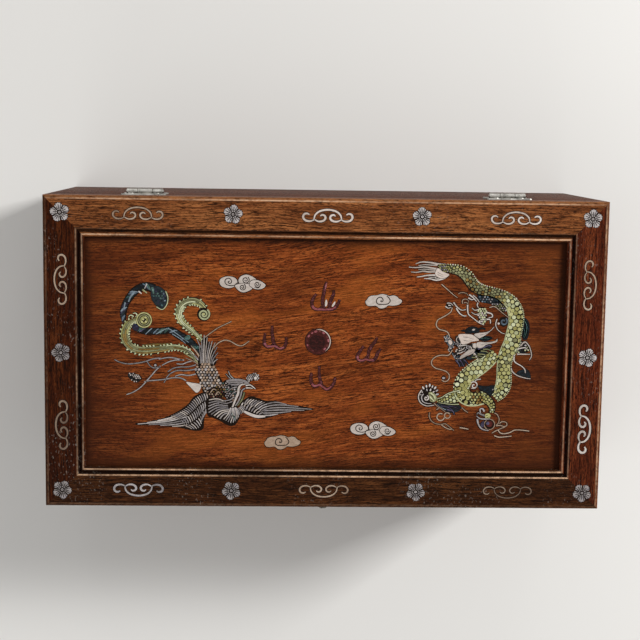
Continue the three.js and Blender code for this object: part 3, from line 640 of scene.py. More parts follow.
class Figure:
    """Tiles and ribbons of shell, laid a little above one another on one wooden face."""

    def __init__(self, surface, seed):
        self.surface = surface
        self.mesh = bmesh.new()
        self.tone = self.mesh.faces.layers.float.new("tile_tone")
        self.shells = []
        self.random = random.Random(seed)

    def slot(self, shell_name):
        if shell_name not in self.shells:
            self.shells.append(shell_name)
        return self.shells.index(shell_name)

    def heights(self, layer):
        top = self.surface + LAYER * (layer + 1)
        return self.surface - TILE_SINK, top - LAYER * RIM_DROP, top

    def paint(self, faces, shell_name, tone):
        index = self.slot(shell_name)
        tone = self.random.random() if tone is None else tone
        for face in faces:
            face.material_index = index
            face[self.tone] = tone

    def tile(self, outline, layer, shell_name, tone=None):
        """A flat piece with a fine bevel round its top."""
        if signed_area(outline) < 0:
            outline = outline[::-1]
        base, rim, top = self.heights(layer)
        count = len(outline)
        levels = (outline, base), (outline, rim), (moved_left(outline, TILE_EDGE), top)
        rings = [[self.mesh.verts.new((p[0], p[1], z)) for p in ring] for ring, z in levels]
        faces = [self.mesh.faces.new(rings[2]), self.mesh.faces.new(rings[0][::-1])]
        for low, high in zip(rings, rings[1:]):
            for i in range(count):
                j = (i + 1) % count
                faces.append(self.mesh.faces.new((low[i], low[j], high[j], high[i])))
        self.paint(faces, shell_name, tone)

    def dot(self, x, y, reach, layer, shell_name, squash=1.0, turn=0.0, tone=None, count=9):
        """A round or oval tile."""
        oval = [polar(0, 0, reach, 360 * i / count, squash) for i in range(count)]
        self.tile(turned_to(oval, x, y, turn), layer, shell_name, tone)

    def ribbon(self, points, layer, shell_name, spacing=0.8, tone=None, grow=0.0):
        """A stroke with pointed ends that follows [x, y, half width] points."""
        line = evenly(points, spacing)
        ways = headings(line)
        base, rim, top = self.heights(layer)
        sections = []
        for point, way in zip(line, ways):
            side = left_of(way)
            reach = max(point.z + grow, THINNEST)
            flat = reach - min(TILE_EDGE, reach * 0.4)
            row = [(reach, base), (reach, rim), (flat, top), (-flat, top), (-reach, rim), (-reach, base)]
            sections.append([self.mesh.verts.new((*(point.xy + side * u), z)) for u, z in row])
        for end, way, section in ((line[0], -ways[0], sections[0]), (line[-1], ways[-1], sections[-1])):
            for vert in section:
                vert.co.xy += way * max(end.z + grow, THINNEST) * END_STRETCH
        faces = []
        for first, second in zip(sections, sections[1:]):
            for i in range(6):
                j = (i + 1) % 6
                faces.append(self.mesh.faces.new((first[i], first[j], second[j], second[i])))
        faces.append(self.mesh.faces.new(sections[0][::-1]))
        faces.append(self.mesh.faces.new(sections[-1]))
        self.paint(faces, shell_name, tone)

    def inset(self, points, layer, shell_name, outline=0.28, **settings):
        """A ribbon of shell in a wider bed of mastic."""
        self.ribbon(points, layer, "mastic", grow=outline, **settings)
        self.ribbon(points, layer + 1, shell_name, **settings)

    def finish(self, node, slot):
        bmesh.ops.recalc_face_normals(self.mesh, faces=self.mesh.faces)
        materials = [SHELLS[shell_name] for shell_name in self.shells]
        link(f"{node}_shell", self.mesh, materials, "lid", node, slot)


BORDER_INSET = 11.5
BORDER_X = WIDTH / 2 - BORDER_INSET
BORDER_Y = DEPTH / 2 - BORDER_INSET
RAIL_PITCH = WIDTH / 6
STILE_PITCH = BORDER_Y * 0.525

PETALS = 5
PETAL_MIDDLE = 4.1
PETAL_SWELL = 2.2
PETAL_POWER = 0.55
NOTCHES = 25
NOTCH_DEPTH = 0.28
FLOWER_POINTS = 60


def flower_outline(grow, wobble):
    points = []
    for i in range(FLOWER_POINTS):
        angle = 2 * math.pi * i / FLOWER_POINTS
        petal = abs(math.cos(PETALS / 2 * angle)) ** PETAL_POWER
        notch = NOTCH_DEPTH * math.cos(NOTCHES * angle) * petal
        reach = PETAL_MIDDLE + PETAL_SWELL * petal + notch * wobble + grow
        points.append(polar(0, 0, reach, math.degrees(angle) + 90))
    return points


def border_flower(node, x, y, turn, tone, seed):
    figure = Figure(RAIL_FACE, seed)

    def cut(degrees, start, end, start_half, end_half, layer, spacing):
        """A dark line that runs out from the middle."""
        line = [(*polar(0, 0, start, degrees), start_half), (*polar(0, 0, end, degrees), end_half)]
        figure.ribbon(turned_to(line, x, y, turn), layer, "mastic", spacing)

    figure.tile(turned_to(flower_outline(0.35, 0.5), x, y, turn), 0, "mastic")
    figure.tile(turned_to(flower_outline(0.0, 1.0), x, y, turn), 1, "silver", tone)
    for petal in range(PETALS):
        middle = 90 + 360 / PETALS * petal
        for k in (-1.5, 0, 1.5):
            end = 5.7 - 0.4 * abs(k) - figure.random.uniform(0, 1.2)
            cut(middle + k * 12.5, 1.9 + 0.4 * abs(k), end, 0.34, 0.24, 2, 2.0)
        for k in (-1, 1):
            cut(middle + k * 19, 4.2, 6.3, 0.12, 0.26, 3, 1.0)
        cut(middle + 36, 1.6, 4.9, 0.3, 0.6, 2, 2.0)
    figure.dot(x, y, 1.8, 3, "mastic", count=12)
    figure.dot(x, y, 0.9, 4, "silver", count=10)
    figure.dot(x, y, 0.35, 5, "mastic")
    figure.finish(node, "white_shell")


SCROLL_ARCH = [
    (-9.3, -2.6, 0.45), (-8.4, 0.4, 0.62), (-5.3, 2.9, 0.72), (0, 3.9, 0.72), (5.3, 2.9, 0.72),
    (8.4, 0.4, 0.66), (9.2, -2.4, 0.5),
]
SCROLL_CURL = [
    (9.1, -2.6, 0.4), (6.4, -3.9, 0.62), (3.3, -3.6, 0.78), (1.6, -1.9, 0.82), (2.1, -0.1, 0.8),
    (3.9, 0.5, 0.72), (5.1, -0.4, 0.4),
]
SCROLL_HOOK = [
    (8.8, -2.7, 0.45), (11.6, -3.8, 0.66), (14.8, -3.4, 0.8), (16.5, -1.4, 0.86), (15.9, 0.7, 0.8),
    (13.9, 1.3, 0.72), (12.4, 0.5, 0.45),
]


def border_scroll(node, x, y, turn, shell_name, breadth, seed):
    figure = Figure(RAIL_FACE, seed)
    strokes = [SCROLL_ARCH]
    for stroke in (SCROLL_CURL, SCROLL_HOOK):
        strokes += [stroke, [(-u, v, half) for u, v, half in stroke]]
    strokes = [turned_to([(u, v, half * breadth) for u, v, half in stroke], x, y, turn) for stroke in strokes]
    for stroke in strokes:
        figure.ribbon(stroke, 0, "mastic", grow=0.4)
    for i, stroke in enumerate(strokes):
        figure.ribbon(stroke, 1 + (i > 0), shell_name)
    figure.finish(node, "white_shell")


# Shell and stroke breadth of each scroll
SCROLLS = {
    "back": (("cream", 0.68), ("pearly", 0.85), ("pearly", 0.72)),
    "front": (("silver", 0.85), ("cream", 0.66), ("faded", 0.5)),
    "left": (("faded", 0.8), ("cream", 0.7)),
    "right": (("white", 0.9), ("cream", 0.66)),
}
FLOWER_TURNS = 10, -8, 4, -3
for end, y, turn, tone in (("back", BORDER_Y, 0, 1.0), ("front", -BORDER_Y, 180, 0.4)):
    for i, step in enumerate((-3, -1, 1, 3)):
        x = math.copysign(min(abs(step) * RAIL_PITCH, BORDER_X), step)
        border_flower(f"border_flower_{end}_{i + 1}", x, y, turn + FLOWER_TURNS[i], tone, 10 + i)
    for i, step in enumerate((-2, 0, 2)):
        border_scroll(f"border_scroll_{end}_{i + 1}", step * RAIL_PITCH, y, turn, *SCROLLS[end][i], 20 + i)
for end, x, turn, tone in (("left", -BORDER_X, 90, 0.3), ("right", BORDER_X, 270, 1.0)):
    border_flower(f"border_flower_{end}", x, 0, turn, tone, 30)
    for i, step in enumerate((-1, 1)):
        border_scroll(f"border_scroll_{end}_{i + 1}", x, step * STILE_PITCH, turn, *SCROLLS[end][i], 40 + i)


# Strokes of the two animals

def strand(half, points, tip=0.35):
    """Gives x, y points a half width that narrows towards the last one."""
    last = len(points) - 1
    return [(*point, half * (1 + (tip - 1) * i / last)) for i, point in enumerate(points)]


def beside(line, share, half):
    """A line at a share of the half width to one side of another."""
    return [(*(p.xy + left_of(way) * p.z * share), half) for p, way in zip(line, headings(line))]


OUTLINE_STEP = 0.9


def rounded(points):
    """A closed outline that runs smoothly through the points."""
    ring = [Vector(p[:2]) for p in points]
    count = len(ring)
    outline = []
    for i in range(count):
        a, b, c, d = (ring[(i + k) % count] for k in (-1, 0, 1, 2))
        steps = max(1, round((c - b).length / OUTLINE_STEP))
        outline += [tuple(on_curve(a, b, c, d, k / steps)) for k in range(steps)]
    return outline


def grown(outline, reach):
    """The outline moved out by a small distance."""
    return [tuple(p) for p in moved_left(outline, -math.copysign(reach, signed_area(outline)))]


def inside(outline, x, y):
    found = False
    for (ax, ay), (bx, by) in zip(outline, outline[1:] + outline[:1]):
        if (ay > y) != (by > y) and x < ax + (y - ay) * (bx - ax) / (by - ay):
            found = not found
    return found


def patch(figure, points, layer, shell_name, tone=None, border=0.3):
    """A smooth area of shell in a wider bed of mastic."""
    outline = rounded(points)
    figure.tile(grown(outline, border), layer, "mastic")
    figure.tile(outline, layer + 1, shell_name, tone)


def strands(figure, layer, shell_name, half, *lines, tip=0.5, bed=0.5):
    for points in lines:
        figure.inset(strand(half * 0.85, points, tip), layer, shell_name, bed)


def beaded(figure, points, layer, shells, pitch, fill=0.37, bed=True):
    """An area covered with staggered beads of uneven size and turn."""
    outline = rounded(points)
    if bed:
        figure.tile(grown(outline, 0.25), layer, "mastic")
    low = [min(p[i] for p in outline) for i in range(2)]
    high = [max(p[i] for p in outline) for i in range(2)]
    draw = figure.random
    row_pitch = pitch * 0.84
    rows = round((high[1] - low[1]) / row_pitch)
    for row in range(rows):
        y = low[1] + pitch * (0.42 + 0.84 * row)
        for k in range(round((high[0] - low[0]) / pitch) + 1):
            x = low[0] + pitch * (k + 0.2 + 0.5 * (row % 2)) + draw.uniform(-0.1, 0.1) * pitch
            if inside(outline, x, y):
                reach = pitch * fill * draw.uniform(0.85, 1.15)
                figure.dot(
                    x, y, reach, layer + 1, draw.choice(shells), draw.uniform(0.7, 1), draw.uniform(0, 180),
                )


SCALE_SHAPE = [
    (-0.62, 0), (-0.4, -0.4), (-0.3, -0.5), (0.26, -0.5), (0.46, -0.36), (0.66, -0.1), (0.66, 0.1),
    (0.46, 0.36), (0.26, 0.5), (-0.3, 0.5), (-0.4, 0.4),
]


SCALE_GAP = 0.52
SPINE_STEP = 0.25
BED_BORDER = 0.3


def scale_rows(figure, spine, layer, pick):
    """Staggered rows of scales along a spine, broad where it is broad, on a bed of mastic."""
    figure.ribbon(spine, layer, "mastic", grow=BED_BORDER)
    line = evenly(spine, SPINE_STEP)
    row, due = 0, 0.4
    for i, (point, way) in enumerate(zip(line, headings(line))):
        if i * SPINE_STEP < due:
            continue
        pitch = 0.9 + 0.34 * point.z
        reach = point.z - BED_BORDER
        count = max(2, round(2 * reach / (pitch * 1.1)))
        step = 2 * reach / count
        side = left_of(way)
        offset = 0.5 * (row % 2)
        for k in range(count + row % 2):
            low = max(-reach, -reach + step * (k - offset))
            high = min(reach, -reach + step * (k - offset + 1))
            centre = point.xy + side * (low + high) / 2
            long, broad = way * (pitch - SCALE_GAP), side * (high - low - SCALE_GAP)
            outline = [tuple(centre + long * u + broad * v) for u, v in SCALE_SHAPE]
            figure.tile(outline, layer + 1, pick(centre))
        row += 1
        due += pitch


FEATHERS = ["silver", "silver", "white"]


def share_out(points, count):
    line = evenly(points, sum_length(points) / (count * 4))
    return [line[round(i * (len(line) - 1) / count)] for i in range(count + 1)]


def sum_length(points):
    return sum((Vector(b[:2]) - Vector(a[:2])).length for a, b in zip(points, points[1:]))


def quills(figure, inner, outer, count, layer, half, bow):
    """Narrow feathers side by side, from one line almost to another."""
    for near, far in zip(share_out(inner, count), share_out(outer, count)):
        near, far = near.lerp(far, 0.05), near.lerp(far, 0.88)
        way = far.xy - near.xy
        middle = near.xy.lerp(far.xy, 0.5) + left_of(way) * bow
        line = [(*near.xy, half * 0.9), (*middle, half), (*far.xy, half * 0.7)]
        figure.inset(line, layer, figure.random.choice(FEATHERS), 0.26)


# Clouds, flames and pearl, drawn at places on the lid

LEFT_PUFF = [
    (-72.3, 49), (-71, 51.2), (-68, 52.4), (-65, 52.5), (-62, 51.6), (-60.4, 49.8), (-60.4, 47.8), (-62, 46),
    (-64.5, 44.8), (-68, 44.8), (-71.2, 46.2),
]
TOP_PUFF = [
    (-59.4, 49), (-59, 51.4), (-57, 53.2), (-54, 53.9), (-51, 53), (-48.6, 51.6), (-47.2, 50), (-49, 48.4),
    (-52.4, 46.8), (-55, 46.8), (-58, 47.4),
]
LOW_PUFF = [
    (-61.8, 46.4), (-60.4, 44), (-58, 42.3), (-55.6, 41.9), (-52.6, 42.9), (-50, 44.6), (-50.4, 46.4),
    (-52.4, 47.5), (-56, 47.9), (-59, 47.6),
]
RIGHT_PUFF = [
    (-51.8, 48.4), (-50.8, 49.8), (-48, 50.3), (-45, 49.7), (-42.4, 48.2), (-41.2, 46.8), (-42.4, 45.1),
    (-45, 44.1), (-48, 44.2), (-50.6, 45.4), (-52, 46.8),
]
LEFT_PUFF_LINE = [
    (-65.4, 49.4), (-66.4, 49), (-65.8, 47.8), (-64.4, 48.2), (-64.2, 49.8), (-65.4, 51.1), (-67.2, 51.1),
    (-68.5, 49.8), (-68.4, 48), (-67, 46.8), (-64.5, 46.3), (-62, 46.7), (-60.6, 48),
]
WIDE_PUFF = [
    (26.5, 36.4), (27.4, 34.3), (29, 33.5), (33.6, 33.7), (35.6, 32.3), (38, 31.9), (40.6, 32.9), (42, 34.1),
    (45, 33.9), (48.6, 34.5), (50.9, 36), (51.1, 37.8), (49.2, 38.6), (48, 40), (45.4, 40.9), (42.6, 40.3),
    (40.6, 41.2), (37.4, 41.7), (34.6, 40.9), (31, 40.5), (28.8, 39.7), (27.6, 37.8),
]
WIDE_PUFF_LINE = [
    (37.3, 37.5), (36.8, 36.7), (37.8, 36.6), (38.5, 37.6), (37.4, 39.3), (35.6, 39.4), (34.2, 38),
    (34.1, 36), (35.4, 34.8), (39, 34.7), (41.7, 35.1), (43.3, 37), (42.6, 38.8), (41, 40.5),
]
BACK_LEFT_PLACE = (-56.9, 48.2)
FRONT_RIGHT_PLACE = (33.2, -51.8)
BACK_RIGHT_PLACE = (38.8, 37)
FRONT_LEFT_PLACE = (-28.7, -61.1)


def moved(points, start, end):
    return [(p[0] + end[0] - start[0], p[1] + end[1] - start[1], *p[2:]) for p in points]


def long_cloud(name, place, shell_name, seed):
    figure = Figure(PANEL_TOP, seed)
    puffs = [moved(puff, BACK_LEFT_PLACE, place) for puff in (LEFT_PUFF, TOP_PUFF, LOW_PUFF, RIGHT_PUFF)]
    for puff in puffs:
        figure.tile(grown(rounded(puff), 0.55), 0, "mastic")
    for layer, puff in enumerate(puffs):
        patch(figure, puff, 1 + 2 * layer, shell_name, 0.6, 0.4)
    lines = [
        [(*p, 0.3) for p in LEFT_PUFF_LINE],
        spiral(-54.7, 50.3, 0.4, 2.6, 1.7, 160, 0.3),
        spiral(-56.8, 45.3, 0.4, 2.3, 1.7, 170, 0.3),
        spiral(-46.8, 47.4, 0.4, 2.2, 1.6, 150, 0.28) + [(-46, 45, 0.25), (-48.8, 45.4, 0.2)],
    ]
    for layer, line in enumerate(lines):
        figure.ribbon(moved(line, BACK_LEFT_PLACE, place), 3 + 2 * layer, "mastic", spacing=0.5)
    figure.finish(name, "white_shell")


def short_cloud(name, place, shell_name, seed):
    figure = Figure(PANEL_TOP, seed)
    patch(figure, moved(WIDE_PUFF, BACK_RIGHT_PLACE, place), 0, shell_name, 0.6, 0.5)
    line = moved([(*p, 0.32) for p in WIDE_PUFF_LINE], BACK_RIGHT_PLACE, place)
    figure.ribbon(line, 2, "mastic", spacing=0.5)
    figure.finish(name, "white_shell")


long_cloud("cloud_back_left", BACK_LEFT_PLACE, "white", 51)
short_cloud("cloud_back_right", BACK_RIGHT_PLACE, "white", 52)
short_cloud("cloud_front_left", FRONT_LEFT_PLACE, "cream", 53)
long_cloud("cloud_front_right", FRONT_RIGHT_PLACE, "white", 54)

FLAMES = {
    "back": (
        [(-6.8, 41.4), (-9, 38), (-9.8, 34.5), (-8.4, 31.5), (-5, 30.8), (-3, 32.4)],
        [(-0.2, 49.6), (-1.2, 46), (-1.8, 42), (-2.5, 38), (-2.4, 34), (-1, 31)],
        [(5, 44), (4.7, 41), (3.2, 37.6), (2.2, 34), (1.6, 31.4)],
        [(9, 37.6), (8, 35.2), (6.4, 32.6), (4, 31), (1, 30.8), (-4, 30.8), (-8, 31.2)],
    ),
    "left": (
        [(-41.2, 14), (-41.7, 10), (-41.6, 6.6), (-40, 5.1), (-37.4, 5), (-35.6, 6.6)],
        [
            (-36.4, 19.4), (-36.5, 15), (-36, 11), (-35.5, 8), (-34, 5), (-31, 3.6), (-28.6, 4.3), (-27, 7.2),
            (-27, 11.4),
        ],
    ),
    "right": (
        [(25.8, 6), (23.8, 3), (21.8, -0.4), (21.8, -2.8), (24, -4.2), (26.6, -3.4), (28.4, -1)],
        [(35, 11.8), (33, 8.4), (30.6, 5), (29.3, 1.6), (29, -2)],
        [(37.6, 4.2), (35.6, 1.6), (34.6, -1.4), (32.6, -3.6), (30, -3.8), (28, -2.8)],
    ),
    "front": (
        [(-9.4, -12.6), (-9.8, -16), (-9.2, -20), (-7.4, -22), (-4.8, -21.6), (-3.6, -19.4)],
        [
            (-4, -8), (-4.2, -12), (-3.8, -16), (-3, -19), (-1.6, -22.2), (1.4, -24), (4, -22.8), (6, -19.6),
            (6.8, -15.6),
        ],
    ),
}
FLAME_FEET = {
    "back": [(-9.4, 33.4), (-8, 31.4), (-4, 30.8), (1, 30.8), (4.4, 31.4), (6.4, 33)],
    "left": [(-41.4, 7.4), (-40, 5.2), (-37.4, 5.1), (-34.4, 5.2), (-31, 3.7), (-28.4, 4.8)],
    "right": [(22, -0.8), (22.2, -3), (24.2, -4), (27.4, -3.2), (30, -3.7), (32.8, -3.2)],
    "front": [(-9, -20.4), (-7.2, -21.9), (-4, -21.2), (-1.6, -22.4), (1.4, -23.9), (4.2, -22.2)],
}
for seed, (side, tongues) in enumerate(FLAMES.items()):
    burning = Figure(PANEL_TOP, 61 + seed)
    for tongue in tongues:
        last = len(tongue) - 1
        line = [
            (*p, 0.36 + 0.66 * math.sin(math.pi * (0.08 + 0.8 * i / last)) ** 0.7)
            for i, p in enumerate(tongue)
        ]
        burning.inset(line, 0, "wine", 0.3, tone=0.1)
    burning.ribbon(strand(0.8 if side == "back" else 0.68, FLAME_FEET[side], 0.6), 2, "rose", tone=0.1)
    if side == "back":
        burning.ribbon([(-0.1, 37.4, 0.3), (-0.1, 35.4, 0.8), (-0.4, 33, 0.5)], 3, "white", tone=0.9)
        burning.ribbon([(6, 36.2, 0.3), (5, 34.4, 0.7), (4, 32.8, 0.4)], 3, "white", tone=0.9)
        burning.ribbon([(0.1, 49, 0.2), (-0.4, 47, 0.35), (-0.8, 44.6, 0.2)], 3, "rose")
    burning.finish(f"flame_{side}", "red_shell")


def pearl(x, y, reach):
    figure = Figure(PANEL_TOP, 70)
    figure.dot(x, y, reach + 0.4, 0, "mastic", count=48)
    figure.dot(x, y, reach, 1, "garnet", count=48, tone=0.6)
    figure.dot(x - 0.6, y - 0.6, reach * 0.62, 2, "garnet", count=36, tone=0.0)
    for degrees, share, size, shell_name in (
        (150, 0.84, 1.1, "rose"), (125, 0.8, 0.8, "rose"), (104, 0.8, 1.2, "rose"), (82, 0.84, 0.9, "wine"),
        (58, 0.78, 1.0, "rose"), (30, 0.78, 0.9, "wine"), (6, 0.8, 1.1, "rose"), (-22, 0.78, 1.2, "wine"),
        (-48, 0.78, 1.1, "rose"), (-80, 0.84, 0.9, "wine"), (-120, 0.84, 1.0, "wine"),
        (-160, 0.86, 0.8, "rose"), (178, 0.84, 0.7, "wine"),
    ):
        figure.dot(*polar(x, y, reach * share, degrees), size, 2, shell_name, 0.6, degrees + 90)
    lit = (98, 0.1), (78, 0.3), (52, 0.36), (26, 0.36), (0, 0.32), (-28, 0.28), (-52, 0.1)
    rim = [(*polar(x, y, reach - 0.5, degrees), half) for degrees, half in lit]
    figure.ribbon(rim, 4, "pearly", spacing=0.6)
    figure.finish("pearl", "red_shell")


PEARL_PLACE = (-5.2, 8.8)
PEARL_REACH = 8.8
pearl(*PEARL_PLACE, PEARL_REACH)


# Dragon

DRAGON_SPINE = [
    (80, 59.8, 2.4), (84, 59.3, 2.9), (90, 58, 3.5), (94.5, 55, 3.9), (97.5, 51, 3.9), (100.5, 47.5, 3.8),
    (105, 45.2, 3.6), (111, 44, 3.2), (117, 42.3, 3.4), (122.5, 39, 4.4), (127, 34.5, 5.0),
    (129.3, 28.5, 5.2), (129.3, 22, 5.0), (128, 15, 5.2), (127, 9, 5.6), (124.5, 3, 5.4), (122.8, -2, 5.0),
    (122.2, -8, 4.8), (122.4, -14, 5.0), (122, -20, 5.2), (120, -25, 4.6), (116.5, -29, 3.2),
]
DRAGON_NECK = [
    (116, 1.5, 3.6), (112, -2.5, 4.6), (107, -6.5, 5.2), (101.5, -10.5, 5.4), (96.5, -15, 5.4),
    (93.8, -20, 5.4), (94.3, -25.5, 5.4), (98, -29.4, 5.0), (103.5, -29.8, 4.8), (109, -28.6, 4.4),
]
DRAGON_SHANK = [(106, -27.6, 4), (110, -29.4, 3.4), (113.6, -32.6, 2.8), (115, -36, 2.2), (114.6, -39.5, 1.7)]
FOREFOOT = (70.8, -28.2)
DRAGON_EYE = (97, 6)
WHISKER_END = (81, -15.5)


def dragon_tail_fin():
    figure = Figure(PANEL_TOP, 81)
    strands(
        figure, 0, "white", 0.92,
        [(80, 62), (75, 62.5), (70, 63.5), (64, 63.8), (60, 62.5)],
        [(78, 61), (76, 59.2), (71, 59.8), (66, 60.5), (60, 60), (55.5, 60.3)],
        [(77, 57), (73, 57.4), (69, 57.2), (65, 57.6), (61, 56.8), (57, 57)],
        [(80, 56), (76, 55), (72, 55), (68, 54.8), (64, 54), (61, 53.6)],
        [(82.5, 55.3), (81, 54), (78, 52.4), (74, 51.6), (70, 52.5), (66, 52.6)],
        tip=0.3, bed=0.35,
    )
    strands(
        figure, 0, "white", 0.45,
        [(76, 61.6), (71, 61.8), (66, 62), (62, 61.4)], [(77, 58.2), (71, 58.6), (66, 59), (62, 58.6)],
        [(78, 55.6), (73, 53.4), (69, 53.6)], [(79, 53.8), (75, 52.8), (72, 53.6)],
    )
    patch(
        figure, [(74.5, 59.4), (77, 59.2), (80.5, 56.6), (83, 55.6), (81, 53.6), (77, 53), (73.5, 55.4)], 2,
        "pearly", 0.7,
    )
    for points in ([(75, 57), (79, 55)], [(75, 55.4), (79.5, 53.8)]):
        figure.ribbon(strand(0.16, points), 4, "mastic")
    beaded(
        figure, [(75, 61.8), (79, 62.4), (83, 61.6), (84, 58.6), (80, 57.2), (76.5, 59.4)], 4,
        ["silver", "green"], 1.3,
    )
    figure.finish("dragon_tail_fin", "white_shell")


def dragon_body():
    figure = Figure(PANEL_TOP, 82)
    choice = figure.random.choice

    def pick(centre):
        dim = noise.noise(Vector((centre.x * 0.13, centre.y * 0.13, 3.0)))
        if centre.y > 41 or (centre.y > 34 and centre.x < 121):
            return choice(
                [
                    "dim_green", "dim_green", "ochre",
                ] if 94 < centre.x < 121 else ["dim_green", "green", "dim_green"]
            )
        if -14 < centre.y < -2 and 96 < centre.x < 106:
            return choice(["green", "green", "pale_green"])
        return choice(["dim_green", "green"] if dim > 0.3 else ["green", "green", "pale_green"])

    # Far parts: fin, mane and claws behind the body
    patch(
        figure,
        [
            (103, 42.5), (108, 41.5), (114, 41.5), (119, 39.8), (121.5, 36.6), (116, 36), (109, 36.4),
            (104, 38),
        ],
        0, "ink",
    )
    beaded(
        figure, [(104, 41), (110, 40.5), (116, 38.8), (113, 36.6), (105, 37.6)], 1,
        ["slate", "ink", "silver"], 1.9, 0.3, False,
    )
    beaded(
        figure, [(110, 38), (117, 37.4), (122, 35), (122, 31), (118, 31.6), (114, 34.6)], 0,
        ["dim_green", "silver"], 1.7,
    )
    patch(
        figure, [(134, 26), (136.6, 25.5), (138.5, 22), (138.6, 17), (137.2, 12), (134.6, 12), (133.5, 18)],
        0, "ink",
    )
    strands(
        figure, 1, "teal", 0.4, [(135, 25), (137, 21), (136.6, 16), (135.5, 13)],
        [(134.6, 20), (135.6, 16.5), (134.6, 13)], bed=0.6,
    )
    beaded(
        figure, [(130, 9), (134, 10.5), (138, 9), (139, 4), (134, 2), (130, 3)], 0,
        ["pale_green", "silver", "ink"], 1.9,
    )
    patch(figure, [(133, -10), (138, -9), (140.5, -13), (140, -15.8), (135, -14.6), (131, -12.2)], 0, "ink")
    patch(
        figure,
        [
            (105, -20.6), (110, -21), (118, -20.4), (120.5, -23), (118, -27), (113.5, -27.5), (110, -25.5),
            (106.4, -23.8),
        ],
        0, "ink",
    )
    beaded(
        figure, [(114, -23), (118, -22), (120, -24), (117, -26.6), (113.4, -25.4)], 1, ["silver", "ink"], 1.6,
        0.3, False,
    )
    patch(
        figure,
        [
            (76, -33.4), (81, -33.6), (86, -34), (91, -34), (93.6, -35.8), (91, -38.8), (86, -39.4),
            (81, -37.4),
        ],
        0, "ink",
    )
    strands(
        figure, 2, "violet", 0.5, [(80, -35), (84, -35.6), (88, -38)], [(85, -35), (89, -35.6), (92, -37)],
        [(84, -37.4), (88, -38.6), (89, -41)],
    )
    strands(figure, 2, "slate", 0.5, [(76.5, -34), (79.5, -36), (83, -37.6)])

    scale_rows(figure, DRAGON_SPINE, 1, pick)
    spine = evenly(DRAGON_SPINE, 1.6)
    for spot in evenly(beside(spine[28:], 1.0, 0.4), 1.25):
        figure.dot(*spot.xy, 0.44, 3, "pale_green", 0.8)
    figure.ribbon(beside(spine[34:-3], -0.97, 0.3), 3, "pale_green")
    for i, (point, way) in enumerate(zip(spine[:34], headings(spine))):
        spot = point.xy + left_of(way) * (point.z + 0.2)
        figure.dot(*spot, 0.5, 3, "pale_green" if i % 3 else "white")
    scale_rows(figure, DRAGON_NECK, 4, pick)
    neck = evenly(DRAGON_NECK, 1.6)
    figure.ribbon(beside(neck[2:21], 0.97, 0.4), 6, "pale_green")
    for point, way in zip(neck[8:24], headings(neck)[8:24]):
        spot = point.xy - left_of(way) * (point.z + 0.1)
        figure.dot(*spot, 0.62, 6, "pale_green", 0.7, math.degrees(math.atan2(way.y, way.x)))
    figure.ribbon(beside(neck[22:], -0.98, 0.4), 6, "pale_green")
    scale_rows(figure, DRAGON_SHANK, 7, pick)
    haunch = [(104.2 + 5 * math.cos(a), -29 + 4.4 * math.sin(a)) for a in (0, 0.9, 1.8, 2.7, 3.6, 4.5, 5.4)]
    beaded(figure, haunch, 8, ["ochre", "green", "green"], 2.3, 0.42)
    figure.inset(spiral(102, -20.5, 0.5, 2.8, 1.2, 60, 0.4), 9, "white", 0.25)
    strands(
        figure, 9, "white", 0.4, [(106.5, -16), (103.5, -16.6), (102, -18.4)],
        [(100, -22.4), (103, -22.4), (104.5, -20)],
    )

    # Rear claws on the right
    strands(
        figure, 2, "white", 0.5,
        [(133, 7), (136, 10), (139, 7), (140.5, 3), (140.8, 0), (139.5, -2.5)],
        [(131, 5), (136, 6), (138, 4.5)],
        [(131, 1.5), (136, 1.5), (140, 1.5)],
        [(129, 1), (129, -3), (131, -5), (134, -6.6), (136.5, -9), (137, -11.5)],
        [(127, -8), (128.4, -11), (132, -13.5), (137, -15), (140.6, -15.5)],
    )

    # Tufts and claws between the tail and the head
    beaded(
        figure, [(104, 33), (107.5, 33), (109.5, 29.5), (109, 25), (107.4, 21.6), (105, 23), (103.4, 27)], 4,
        ["pale_green", "pale_green", "white"], 1.7, 0.44,
    )
    strands(
        figure, 4, "white", 0.55, [(96, 35), (96.2, 31), (97, 28.4), (100, 26), (104, 23), (107.5, 21.4)],
        [(104.5, 29), (101.5, 28.5), (98.8, 30)], [(104, 32), (101, 31.4), (99, 33)],
        [(109, 30), (112.6, 29), (113.2, 27), (110.6, 26.4)], [(108, 25), (111.5, 25.2), (112, 22.4)],
        [(86.4, 36.6), (89, 33.4), (92, 31.4), (95, 31.8)],
        [(88.4, 32.6), (90.4, 29.6), (93, 27.6), (95.4, 27.4)], [(99.5, 41.6), (102, 39.5), (104, 37)],
        [(97, 42), (99.6, 40), (102, 37.4)], [(96.4, 39.8), (98.6, 38.6), (100, 38.8)],
        [(103, 36.6), (102.6, 34.6), (103.6, 33)],
    )
    strands(
        figure, 4, "cream", 0.38,
        [(78, 48.8), (82, 45.4), (86, 42), (89, 39.8)],
        [(89.6, 42.6), (92, 43.4), (95, 42.8), (96.4, 41)],
        [(92.6, 35.8), (92.4, 38), (94.5, 39), (96.6, 37.8), (96, 36)],
        [(93.6, 36.4), (95, 36.6), (96.6, 35.4)],
        [(111, 33.4), (114.5, 34), (118, 31.4), (121, 29), (124.4, 26.6)],
    )
    figure.dot(83.6, 34.2, 2.6, 3, "mastic", count=18)
    strands(
        figure, 4, "white", 0.5, [(81, 33.8), (83, 32.6), (85, 33.4)], [(82, 36), (84.4, 36), (86.2, 34.4)],
        [(83, 34.6), (84.6, 34.4)],
    )
    figure.dot(121, 23.8, 3.4, 4, "mastic", count=20)
    figure.inset(spiral(121, 23.8, 0.7, 2.6, 1.1, 20, 0.55), 5, "slate", 0.1)
    strands(figure, 5, "white", 0.4, [(116.4, 25.4), (115.6, 22), (116.8, 18.6), (119.6, 16.2), (122, 15.4)])
